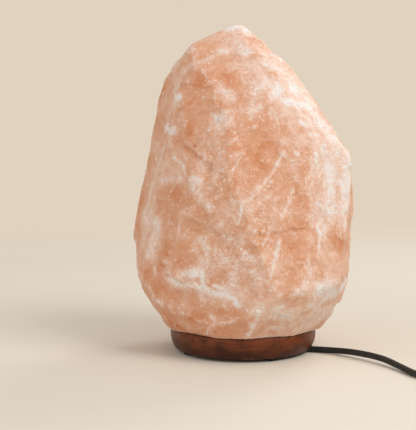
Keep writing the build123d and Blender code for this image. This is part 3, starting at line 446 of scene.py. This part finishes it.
def pin_material():
    """Plated pins with a black insulating collar next to the plug."""
    surface = Surface("pin_metal")
    collar = surface.level(surface.part_of("Y"), *PIN_COLLAR_EDGE, smooth=False)
    lines = surface.grain(1.0, 3.0, 0.6, surface.scaled(900.0, 70.0, 900.0))
    shade = surface.blend(surface.level(lines, 0.4, 0.7), PIN_BRIGHT, PIN_DULL)
    surface.set("Base Color", surface.blend(collar, shade, PIN_COLLAR))
    surface.set("Metallic", surface.maths("SUBTRACT", 1.0, collar))
    gloss = surface.level(lines, 0.3, 0.7, 0.2, 0.32)
    surface.set("Roughness", surface.plus(gloss, surface.times(collar, 0.2)))
    surface.set("Normal", surface.bump(lines, 0.00001))
    return surface.material


# Moulded pieces: a colour, a lighter one, roughness, the texture's fineness, its depth in metres and how
# strong a glaze is.
moulded_kinds = {
    "foot_pad": ((26, 26, 27), (38, 38, 39), 0.75, 900.0, 0.00008),
    "plug_nylon": ((190, 188, 180), (205, 203, 196), 0.55),
    "holder_plastic": ((24, 24, 25), (34, 34, 35), 0.42, 700.0, 0.00005),
    "holder_ceramic": ((226, 222, 212), (238, 235, 227), 0.25, 300.0, 0.00006, 0.4),
    "insulator_glass": ((22, 22, 26), (36, 36, 42), 0.18, 260.0, 0.00005),
    "cord_sheath": ((20, 20, 21), (30, 30, 31), 0.58, 2200.0, 0.00003),
    "core_insulation": ((44, 74, 140), (58, 90, 158), 0.45),
    "case_plastic": ((24, 24, 25), (33, 33, 34), 0.55, 1900.0, 0.00007),
    "wheel_plastic": ((44, 44, 46), (56, 56, 58), 0.5, 1200.0, 0.00005),
    "sleeve_rubber": ((22, 22, 23), (32, 32, 33), 0.62, 1500.0, 0.00004),
    "circuit_board": ((24, 92, 52), (34, 112, 66), 0.35, 500.0, 0.00004),
    "component_plastic": ((176, 52, 38), (196, 66, 48), 0.25, 260.0, 0.00006),
    "control_plastic": ((72, 70, 68), (88, 86, 83), 0.5),
    "plug_plastic": ((22, 22, 23), (31, 31, 32), 0.36, 1400.0, 0.00004),
    "tie_plastic": ((30, 30, 31), (42, 42, 43), 0.45, 900.0, 0.00004),
}
# Metal pieces: a colour, a darker one, roughness and how fine the drawn lines are along each axis.
metal_kinds = {
    "screw_steel": ((178, 178, 180), (140, 139, 138), 0.32, (300.0, 300.0, 1400.0)),
    "sheet_steel": ((186, 187, 189), (150, 150, 150), 0.3, (80.0, 900.0, 900.0)),
    "spring_steel": ((160, 161, 165), (118, 117, 118), 0.26, (900.0, 900.0, 80.0)),
    "contact_brass": ((205, 168, 96), (158, 118, 62), 0.28),
    "bulb_metal": ((200, 199, 196), (165, 162, 156), 0.25, (60.0, 60.0, 1500.0)),
    "solder": ((188, 188, 190), (140, 140, 142), 0.42, (300.0, 300.0, 300.0)),
    "filament_wire": ((120, 120, 124), (86, 86, 90), 0.4, (4000.0, 400.0, 400.0)),
}

materials = {
    "salt": Salt().material,
    "wood": wood_material(),
    "bulb_glass": glass_material(),
    "pin_metal": pin_material(),
}
for slot, kind in moulded_kinds.items():
    materials[slot] = moulded(slot, *kind)
for slot, kind in metal_kinds.items():
    materials[slot] = metal(slot, *kind)

for row in frame["record"]["subparts"]:
    piece = nodes[row["node"]]
    piece.data.materials.clear()
    piece.data.materials.append(materials[row["material_slot"]])
for cord in (cord_1, cord_2):
    cord.data.materials.append(materials["cord_sheath"])


# ---------------------------------------------------------------------------------------- the stone
SEAT = 20.0  # millimetres over the floor, the stone's flat underside
SEAT_FADE = (-1.0, 5.0)  # up from the seat, where the hewn surface begins and where it is full
SEAT_DEPTH = 0.3  # what lies this low over the seat is its underside
BORE_RADIUS = 25.0
BORE_TOP = 148.0
BORE_SIDE_MARGIN = 14.0  # what lies this near the bore is its wall and stays smooth
BORE_TOP_MARGIN = 6.0
VOXEL = 1.5
SEED = 41

# The hewn surface, in millimetres. Lumps and grit have a height, then their clouds' size, octaves and seed.
# Small faces have a count, a tilt and a step.
LUMPS = ((0.55, 38.0, 3, 3.1), (0.4, 15.0, 4, 8.7))
GRIT = (0.13, 4.5, 3, 5.9)
SMALL_FACES = ((240, 0.022, 0.12), (1600, 0.05, 0.06))
CLOUD_STEP = 2.1  # each octave is finer by this
CLOUD_FALL = 0.8  # and weaker by that step to this power
SEED_SHIFT = (1.0, 1.7, 2.3)  # sizes along each axis, for a seed of 1
WALL_SOFTENING = 3  # rounds of averaging between the bore's smooth wall and the hewn surface
WALL_SHARE = 0.01  # a point with less of the hewn surface than this isn't averaged
SHORTEST_RUN = 1e-6  # square millimetres, so that nothing is divided by nought
SMOOTHING = 14  # rounds of averaging, for the smooth stone that ridges and hollows are measured from

# Frost on ridges and painted shade in hollows: a strength, and the heights between which it sets in.
RIDGE_FROST = 0.4
RIDGE_HEIGHTS = (0.1, 0.45)
PAINTED_HOLLOW_SHADE = 0.3
HOLLOW_DEPTHS = (0.05, 0.3)

# Frost and deeper orange on the sides that the front view doesn't show, from clouds. Each cloud has a size,
# octaves and a seed, and sets in between two of its values.
WILD_SIDE = (0.0, 25.0)  # millimetres along Y, where they begin and where they are full
PATCH_FROST = 0.85
PATCH_CLOUD = (30.0, 5, 17.3)
PATCH_LIMITS = (0.1, 0.75)
VEIN_FROST = 0.8
VEIN_CLOUD = (42.0, 4, 23.9)
VEIN_WIDTH = 0.045  # of the cloud's values, to each side of its middle
VEIN_PLACES = (33.0, 3, 29.1)
VEIN_LIMITS = (-0.15, 0.35)
DEEP_CLOUD = (36.0, 3, 31.7)
DEEP_LIMITS = (0.0, 0.7)

# Where the front view shows white frost and deeper orange. A frost line has a strength, a
# width in millimetres and its points, and a deep spot has a strength, a reach in millimetres and its place.
# Points and places are quarter pixels to the right of the view's corner point and below it.
VIEW_CORNER = (120, 15)
STEPS_PER_PIXEL = 4
DEEP_SPREAD = 1.2  # reaches, to where a deep spot is down to about a third
frost_lines = [
    (1.0, 6, [(440, 48), (500, 58)]),
    (0.6, 5, [(470, 108), (430, 138), (400, 152)]),
    (0.4, 4, [(400, 152), (340, 182), (260, 222)]),
    (0.4, 3, [(245, 235), (225, 320), (208, 430)]),
    (0.85, 4, [(220, 322), (232, 332)]),
    (0.9, 5, [(188, 452), (212, 462)]),
    (0.35, 6, [(190, 480), (160, 580), (130, 680), (105, 790)]),
    (0.75, 1.8, [(215, 568), (240, 590), (256, 612), (262, 640)]),
    (0.5, 6, [(175, 662), (235, 660)]),
    (0.75, 5, [(285, 655), (315, 665)]),
    (0.5, 7, [(290, 690), (330, 745), (365, 765)]),
    (0.6, 7, [(95, 800), (145, 835), (138, 900), (118, 950)]),
    (0.3, 8, [(125, 940), (100, 985)]),
    (0.8, 3, [(608, 158), (645, 180)]),
    (0.65, 6, [(560, 180), (600, 205), (650, 225)]),
    (0.6, 8, [(565, 240), (610, 270), (650, 290)]),
    (0.75, 6, [(640, 300), (610, 325)]),
    (0.9, 5, [(700, 305), (760, 315)]),
    (1.0, 7, [(665, 345), (705, 355), (750, 365)]),
    (0.9, 3.5, [(722, 428), (745, 445)]),
    (0.7, 6, [(765, 375), (820, 435), (870, 485)]),
    (0.9, 5, [(855, 490), (900, 540), (918, 600)]),
    (0.85, 6, [(918, 620), (922, 690)]),
    (0.65, 5, [(780, 480), (835, 500), (870, 530)]),
    (0.65, 4, [(782, 560), (790, 620), (822, 680)]),
    (0.6, 9, [(850, 560), (880, 610), (895, 670)]),
    (0.45, 8, [(825, 720), (840, 790), (820, 860)]),
    (0.8, 2.5, [(785, 750), (800, 762)]),
    (0.8, 3, [(788, 850), (802, 872)]),
    (0.7, 2, [(800, 890), (795, 950)]),
    (0.5, 8, [(860, 760), (880, 800)]),
    (0.55, 1.3, [(495, 552), (450, 620), (405, 700)]),
    (0.45, 3, [(470, 560), (430, 600), (380, 650), (355, 690)]),
    (0.55, 1.6, [(655, 545), (610, 630), (565, 690)]),
    (0.7, 2, [(700, 548), (714, 556)]),
    (0.6, 3.5, [(555, 690), (522, 738), (452, 745)]),
    (0.6, 1.6, [(444, 720), (450, 745)]),
    (0.8, 1.6, [(488, 748), (484, 790), (474, 832)]),
    (0.6, 2.2, [(452, 805), (472, 834)]),
    (0.35, 2, [(365, 770), (420, 812), (465, 835)]),
    (0.35, 2, [(480, 818), (540, 818), (600, 832)]),
    (0.5, 2, [(690, 700), (668, 765), (650, 800)]),
    (0.25, 7, [(640, 795), (705, 760)]),
    (0.6, 6, [(412, 305), (445, 322)]),
    (0.6, 6, [(385, 412), (425, 425), (405, 455)]),
    (0.4, 10, [(350, 490), (405, 560)]),
    (0.3, 14, [(500, 760), (600, 770)]),
    (0.6, 1.6, [(386, 840), (379, 965)]),
    (0.5, 4, [(320, 895), (346, 940), (350, 1000)]),
    (0.5, 2, [(350, 1000), (352, 1070)]),
    (0.65, 3, [(338, 915), (352, 935)]),
    (0.5, 1.6, [(604, 850), (590, 890), (572, 922)]),
    (0.7, 1.6, [(640, 905), (625, 960), (600, 1055)]),
    (0.9, 2.2, [(626, 955), (627, 966)]),
    (0.6, 6, [(500, 962), (532, 985)]),
    (0.5, 5, [(440, 1030), (462, 1080)]),
    (0.5, 3, [(178, 985), (200, 1000), (175, 1030)]),
    (0.5, 3, [(140, 1015), (142, 1030)]),
    (0.75, 5, [(205, 1062), (250, 1038), (315, 1025)]),
    (0.95, 3, [(328, 1022), (332, 1082), (362, 1112), (412, 1122), (452, 1132), (472, 1162)]),
    (0.75, 3.5, [(228, 1078), (288, 1080), (330, 1100)]),
    (0.8, 2, [(375, 1080), (440, 1112)]),
    (0.45, 6, [(330, 1130), (420, 1150)]),
    (0.9, 5, [(792, 1085), (832, 1090), (848, 1112)]),
    (0.75, 4, [(848, 1112), (805, 1150), (782, 1182)]),
    (0.9, 4, [(882, 1098), (906, 1062)]),
    (0.6, 6, [(762, 1150), (802, 1192), (792, 1222)]),
    (0.45, 4, [(748, 1010), (762, 1100)]),
    (0.7, 2.5, [(560, 1190), (535, 1240), (515, 1282)]),
    (0.6, 3.5, [(552, 1188), (602, 1182), (652, 1165)]),
    (0.4, 3, [(475, 1165), (550, 1182)]),
    (0.35, 10, [(600, 1170), (700, 1150)]),
    (0.3, 4, [(250, 1165), (275, 1178)]),
    (0.5, 3, [(365, 1205), (378, 1230)]),
    (0.25, 5, [(170, 1160), (205, 1180)]),
    (0.35, 12, [(700, 480), (760, 560)]),
    (0.15, 10, [(600, 1010), (680, 1000)]),
    (0.5, 12, [(540, 200), (550, 280), (540, 350)]),
    (0.6, 9, [(480, 110), (500, 150)]),
    (0.5, 10, [(620, 180), (690, 260)]),
    (0.35, 9, [(690, 330), (700, 420)]),
    (0.4, 8, [(690, 600), (690, 640)]),
    (0.35, 10, [(330, 610), (420, 640)]),
    (0.4, 12, [(400, 830), (420, 900), (480, 900)]),
    (0.5, 13, [(350, 1000), (420, 980), (490, 1010), (540, 1040)]),
    (0.4, 9, [(340, 1110), (480, 1110)]),
    (0.55, 10, [(550, 1180), (700, 1180)]),
    (0.9, 8, [(830, 1090), (830, 1130)]),
    (0.5, 8, [(760, 1040), (770, 1110)]),
    (0.5, 9, [(620, 1250), (760, 1240)]),
    (0.7, 14, [(900, 600), (905, 800)]),
    (0.7, 14, [(840, 560), (840, 780)]),
    (0.5, 12, [(790, 600), (800, 820)]),
    (0.75, 13, [(690, 290), (780, 400), (860, 520)]),
    (0.7, 7, [(470, 60), (520, 75)]),
    (0.45, 9, [(550, 130), (620, 200)]),
    (0.5, 9, [(620, 400), (760, 420)]),
    (0.6, 9, [(760, 470), (840, 560)]),
    (0.8, 8, [(790, 1120), (860, 1110)]),
    (0.65, 11, [(620, 1190), (830, 1190)]),
    (0.5, 7, [(700, 1120), (760, 1060)]),
    (0.85, 9, [(830, 560), (840, 700)]),
    (0.85, 9, [(900, 620), (905, 700)]),
    (0.95, 7, [(830, 1100), (860, 1120)]),
    (0.8, 8, [(750, 340), (780, 360)]),
    (0.6, 7, [(550, 200), (560, 290)]),
]
# Deeper orange spots, some of them painted shade: down the left side and low at the left, where the stone
# is in shade.
deep_and_shaded_spots = [
    (1.0, 12, (330, 270)),
    (0.8, 10, (290, 340)),
    (0.7, 10, (385, 240)),
    (0.6, 9, (380, 350)),
    (0.9, 9, (280, 455)),
    (0.7, 9, (570, 420)),
    (0.9, 10, (590, 500)),
    (1.0, 4, (632, 530)),
    (0.8, 10, (560, 590)),
    (0.8, 10, (480, 560)),
    (0.6, 9, (650, 470)),
    (0.5, 5, (735, 465)),
    (0.9, 13, (220, 720)),
    (0.8, 9, (180, 760)),
    (1.0, 10, (190, 925)),
    (0.7, 12, (240, 960)),
    (0.6, 8, (165, 1005)),
    (0.7, 10, (720, 860)),
    (0.9, 2.5, (757, 928)),
    (0.6, 12, (700, 930)),
    (0.7, 10, (700, 1050)),
    (0.8, 9, (885, 900)),
    (0.6, 8, (905, 850)),
    (0.5, 12, (430, 650)),
    (0.5, 12, (690, 600)),
    (0.45, 14, (450, 930)),
    (0.5, 10, (560, 870)),
    (0.6, 10, (400, 1050)),
    # Painted shade, low at the left.
    (0.9, 12, (150, 1150)),
    (1.0, 12, (200, 1225)),
    (0.9, 13, (300, 1220)),
    (0.6, 10, (440, 1200)),
    (0.6, 9, (620, 1235)),
    (0.5, 10, (700, 1265)),
    (0.6, 10, (520, 1050)),
    (0.5, 9, (290, 850)),
    # Painted shade, down the left side.
    (0.9, 8, (172, 290)),
    (0.9, 8, (145, 430)),
    (0.9, 8, (112, 580)),
    (0.9, 8, (85, 740)),
    (0.8, 8, (68, 880)),
    (0.8, 8, (210, 210)),
    (0.6, 8, (300, 130)),
    (0.5, 9, (530, 110)),
    (0.6, 10, (520, 330)),
    (0.5, 8, (550, 160)),
    (0.9, 2.5, (345, 200)),
    # Painted shade, low at the left.
    (0.8, 11, (260, 1190)),
    (0.7, 11, (130, 1080)),
    (0.8, 10, (115, 1040)),
    (0.6, 9, (200, 830)),
    (0.8, 9, (430, 260)),
    (0.6, 9, (350, 150)),
    (0.5, 8, (270, 200)),
    # Painted shade, low at the left.
    (0.9, 11, (100, 1100)),
    (0.9, 12, (130, 1190)),
    (1.0, 13, (170, 1240)),
    (0.9, 12, (340, 1260)),
    (0.8, 12, (250, 1255)),
    (0.7, 9, (200, 900)),
    (0.6, 8, (480, 480)),
    (0.5, 8, (340, 340)),
]


def fine_copy(source):
    """A closed copy of a CAD node's solid, in even small faces."""
    made = bpy.data.objects.new("crystal_stone", source.data.copy())
    scene.collection.objects.link(made)
    remesh = made.modifiers.new("even", "REMESH")
    remesh.mode = "VOXEL"
    remesh.voxel_size = VOXEL * MM
    bpy.context.view_layer.update()
    even = bpy.data.meshes.new_from_object(made.evaluated_get(bpy.context.evaluated_depsgraph_get()))
    made.modifiers.clear()
    made.data = even
    return made


def read(mesh, kind="co"):
    """Each vertex's place or normal."""
    values = np.empty(len(mesh.vertices) * 3, np.float32)
    mesh.vertices.foreach_get(kind, values)
    return values.reshape(-1, 3).astype(float)


def smoothstep(values, low, high):
    """0 up to a low value, 1 from a high one, and a soft step between."""
    share = np.clip((values - low) / (high - low), 0, 1)
    return share * share * (3 - 2 * share)


def clouds(points, size, octaves, seed):
    """Cloudy noise from -1 to 1 at each point, its lumps about one size across."""
    shift = Vector([seed * share for share in SEED_SHIFT])
    places = (Vector(point) / size + shift for point in points)
    return np.array([noise.fractal(place, CLOUD_FALL, CLOUD_STEP, octaves) for place in places])


def relaxed(values, edges, rounds):
    """Values averaged over the mesh's edges, some rounds over."""
    count = len(values)
    degree = np.bincount(edges.ravel(), minlength=count).astype(float)[:, None]
    for _ in range(rounds):
        total = np.zeros_like(values)
        for axis in range(values.shape[1]):
            total[:, axis] += np.bincount(edges[:, 0], values[edges[:, 1], axis], count)
            total[:, axis] += np.bincount(edges[:, 1], values[edges[:, 0], axis], count)
        values = (values + total / degree) / 2
    return values


def cleaved(points, rng, count, tilt, step):
    """How far each point moves out on small tilted faces, one round each of some random places."""
    centres = points[rng.choice(len(points), count, replace=False)]
    slopes = rng.normal(0, tilt, (count, 3))
    levels = rng.uniform(-step, step, count)
    nearest = np.full(len(points), np.inf)
    moved = np.zeros(len(points))
    for centre, slope, level in zip(centres, slopes, levels):
        away = points - centre
        distance = (away * away).sum(axis=1)
        closer = distance < nearest
        nearest[closer] = distance[closer]
        moved[closer] = level + away[closer] @ slope
    return moved


def on_stone(tree, place):
    """The point of the stone's outside that shows at a place of the front view, or the nearest to it."""
    right, down = (corner + steps / STEPS_PER_PIXEL for corner, steps in zip(VIEW_CORNER, place))
    focal = CAMERA_LENS / SENSOR_WIDTH * VIEW_WIDTH
    sight = Vector((right - VIEW_WIDTH / 2, VIEW_HEIGHT / 2 - down, -focal)).normalized()
    sight.rotate(camera.rotation_euler)
    start = camera.location / MM
    hit = tree.ray_cast(start, sight)[0]
    if hit is None:
        by_the_stone = start - sight * start.dot(sight)
        hit = tree.find_nearest(by_the_stone)[0]
    return np.array(hit)


def near_line(points, line):
    """Each point's distance to a line of straight runs."""
    nearest = np.full(len(points), np.inf)
    for start, end in zip(line, line[1:]):
        run = end - start
        share = np.clip((points - start) @ run / max(run @ run, SHORTEST_RUN), 0, 1)
        away = points - start - share[:, None] * run
        nearest = np.minimum(nearest, np.linalg.norm(away, axis=1))
    return nearest


def wild_frost(points):
    """Frost in cloudy patches and wandering veins."""
    patches = PATCH_FROST * smoothstep(clouds(points, *PATCH_CLOUD), *PATCH_LIMITS)
    past_middle = np.abs(clouds(points, *VEIN_CLOUD))
    veins = VEIN_FROST * smoothstep(-past_middle, -VEIN_WIDTH, 0)
    veins = veins * smoothstep(clouds(points, *VEIN_PLACES), *VEIN_LIMITS)
    return np.maximum(patches, veins)


def hewn(points, normals, edges):
    """Where the points go on the hewn surface, with the seat and the bore's wall left as they are."""
    rng = np.random.default_rng(SEED)
    from_axis = np.hypot(points[:, 0], points[:, 1])
    height = points[:, 2]
    inside = (from_axis < BORE_RADIUS + BORE_SIDE_MARGIN) & (height < BORE_TOP + BORE_TOP_MARGIN)
    outer = relaxed(np.where(inside, 0.0, 1.0)[:, None], edges, WALL_SOFTENING)[:, 0]
    free = outer * smoothstep(height, SEAT + SEAT_FADE[0], SEAT + SEAT_FADE[1])

    out = sum(rise * clouds(points, *cloud) for rise, *cloud in LUMPS)
    out = out + sum(cleaved(points, rng, *faces) for faces in SMALL_FACES)
    out = out + GRIT[0] * clouds(points, *GRIT[1:])
    moved = points + normals * (free * out)[:, None]
    moved = np.where(outer[:, None] > WALL_SHARE, relaxed(moved, edges, 1), moved)
    moved[:, 2] = np.maximum(moved[:, 2], SEAT)
    moved[height < SEAT + SEAT_DEPTH, 2] = SEAT
    return moved


def frost_on(points, ridge, hidden, tree):
    """How white each point is: on ridges, along the listed lines and, on hidden sides, by clouds."""
    frost = RIDGE_FROST * smoothstep(ridge, *RIDGE_HEIGHTS)
    for strength, width, places in frost_lines:
        line = [on_stone(tree, place) for place in places]
        frost = np.maximum(frost, strength * np.exp(-((near_line(points, line) / width) ** 2)))
    return np.maximum(frost, hidden * wild_frost(points))


def depth_and_shade_of(points, ridge, hidden, tree):
    """How much deeper orange and painted shade each point has: shade in hollows, both at the listed spots
    and, on hidden sides, orange by clouds.
    """
    deep_and_shade = PAINTED_HOLLOW_SHADE * smoothstep(-ridge, *HOLLOW_DEPTHS)
    deep_and_shade = np.maximum(deep_and_shade, hidden * smoothstep(clouds(points, *DEEP_CLOUD), *DEEP_LIMITS))
    for strength, reach, place in deep_and_shaded_spots:
        away = np.linalg.norm(points - on_stone(tree, place), axis=1)
        deep_and_shade = np.maximum(deep_and_shade, strength * np.exp(-((away / reach / DEEP_SPREAD) ** 2)))
    return deep_and_shade


def dress_stone():
    """The stone with its hewn surface, and the frost, depth of colour and painted shade that its vertices
    carry.
    """
    stone = fine_copy(nodes["salt_crystal"])
    mesh = stone.data
    points = read(mesh) / MM
    normals = read(mesh, "normal")
    edges = np.empty(len(mesh.edges) * 2, np.int32)
    mesh.edges.foreach_get("vertices", edges)
    edges = edges.reshape(-1, 2)

    moved = hewn(points, normals, edges)
    ridge = ((moved - relaxed(moved, edges, SMOOTHING)) * normals).sum(axis=1)
    tree = BVHTree.FromPolygons(points.tolist(), [tuple(face.vertices) for face in mesh.polygons])
    hidden = smoothstep(points[:, 1], *WILD_SIDE)
    carried = {
        "frost": frost_on(points, ridge, hidden, tree),
        "deep_and_shade": depth_and_shade_of(points, ridge, hidden, tree),
    }
    mesh.vertices.foreach_set("co", (moved * MM).astype(np.float32).ravel())
    for name, values in carried.items():
        layer = mesh.attributes.new(name, "FLOAT", "POINT")
        layer.data.foreach_set("value", values.astype(np.float32))
    mesh.update()
    mesh.shade_smooth()
    mesh.materials.clear()
    mesh.materials.append(materials["salt"])
    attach(stone, "lamp")
    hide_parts("salt_crystal")


dress_stone()


# ------------------------------------------------------------------------------------ floor, lights
BACKGROUND = colour(224, 210, 190)
WORLD_LIGHT = 0.54
WORLD_TINT = (1.0, 0.98, 0.95)
FLOOR_HALF = 6.0  # metres
FLOOR_FADE = (0.4, 1.0)  # metres from the middle, from the floor's own look to the background's
FLOOR_DARKER = colour(229, 220, 205)
FLOOR_LIGHTER = colour(233, 225, 211)


def seen(tree):
    """1 for what shows straight, mirrored or through glass, and 0 for light that falls on things."""
    path = tree.nodes.new("ShaderNodeLightPath")
    total = path.outputs["Is Camera Ray"]
    for kind in ("Is Glossy Ray", "Is Transmission Ray"):
        either = tree.nodes.new("ShaderNodeMath")
        either.operation = "MAXIMUM"
        tree.links.new(total, either.inputs[0])
        tree.links.new(path.outputs[kind], either.inputs[1])
        total = either.outputs["Value"]
    return total


def pale_floor():
    """A plain floor that takes shadows near the lamp and fades further off into the background's colour."""
    corners = [(x * FLOOR_HALF, y * FLOOR_HALF, 0) for x, y in ((-1, -1), (1, -1), (1, 1), (-1, 1))]
    mesh = bpy.data.meshes.new("floor")
    mesh.from_pydata(corners, [], [(0, 1, 2, 3)])
    surface = Surface("floor", specular_ior_level=0.2, roughness=0.9)
    tone = surface.level(surface.grain(1.6, 2.0), 0.3, 0.7)
    surface.set("Base Color", surface.blend(tone, FLOOR_DARKER, FLOOR_LIGHTER))
    away = surface.node("ShaderNodeVectorMath", operation="LENGTH")
    surface.feed(away.inputs[0], surface.place)
    far_off = surface.level(away.outputs["Value"], *FLOOR_FADE)
    glow = surface.node("ShaderNodeEmission")
    glow.inputs["Color"].default_value = BACKGROUND
    mixed = surface.node("ShaderNodeMixShader")
    surface.feed(mixed.inputs[0], surface.times(far_off, seen(surface.tree)))
    surface.feed(mixed.inputs[1], surface.shader.outputs["BSDF"])
    surface.feed(mixed.inputs[2], glow.outputs["Emission"])
    surface.feed(surface.tree.nodes["Material Output"].inputs["Surface"], mixed.outputs["Shader"])
    mesh.materials.append(surface.material)
    made = bpy.data.objects.new("floor", mesh)
    scene.collection.objects.link(made)


def studio():
    """Even light from all round, behind a plain background."""
    world = bpy.data.worlds.new("studio")
    world.use_nodes = True
    tree = world.node_tree
    shown = tree.nodes.new("ShaderNodeMix")
    shown.data_type = "RGBA"
    tree.links.new(seen(tree), shown.inputs["Factor"])
    shown.inputs["A"].default_value = [part * WORLD_LIGHT for part in WORLD_TINT] + [1.0]
    shown.inputs["B"].default_value = BACKGROUND
    tree.links.new(shown.outputs["Result"], tree.nodes["Background"].inputs["Color"])
    scene.world = world


def softbox(name, place, aim, size, power, tint):
    """A square area lamp that looks at a point."""
    lamp = bpy.data.lights.new(name, "AREA")
    lamp.size = size
    lamp.energy = power
    lamp.color = tint
    made = bpy.data.objects.new(name, lamp)
    made.location = place
    made.rotation_euler = (Vector(aim) - Vector(place)).to_track_quat("-Z", "Y").to_euler()
    scene.collection.objects.link(made)


pale_floor()
studio()
softbox("key", place=(1.1, -0.9, 1.5), aim=(0, 0, 0.12), size=1.0, power=18.0, tint=(1.0, 0.99, 0.98))
softbox("fill", place=(-1.3, -1.0, 0.9), aim=(0, 0, 0.12), size=1.4, power=5.0, tint=(1.0, 0.98, 0.96))
softbox("rim", place=(0.9, 1.2, 1.2), aim=(0, 0, 0.15), size=0.8, power=8.0, tint=(1.0, 0.97, 0.94))
scene.view_settings.view_transform = "Standard"

bpy.context.view_layer.update()
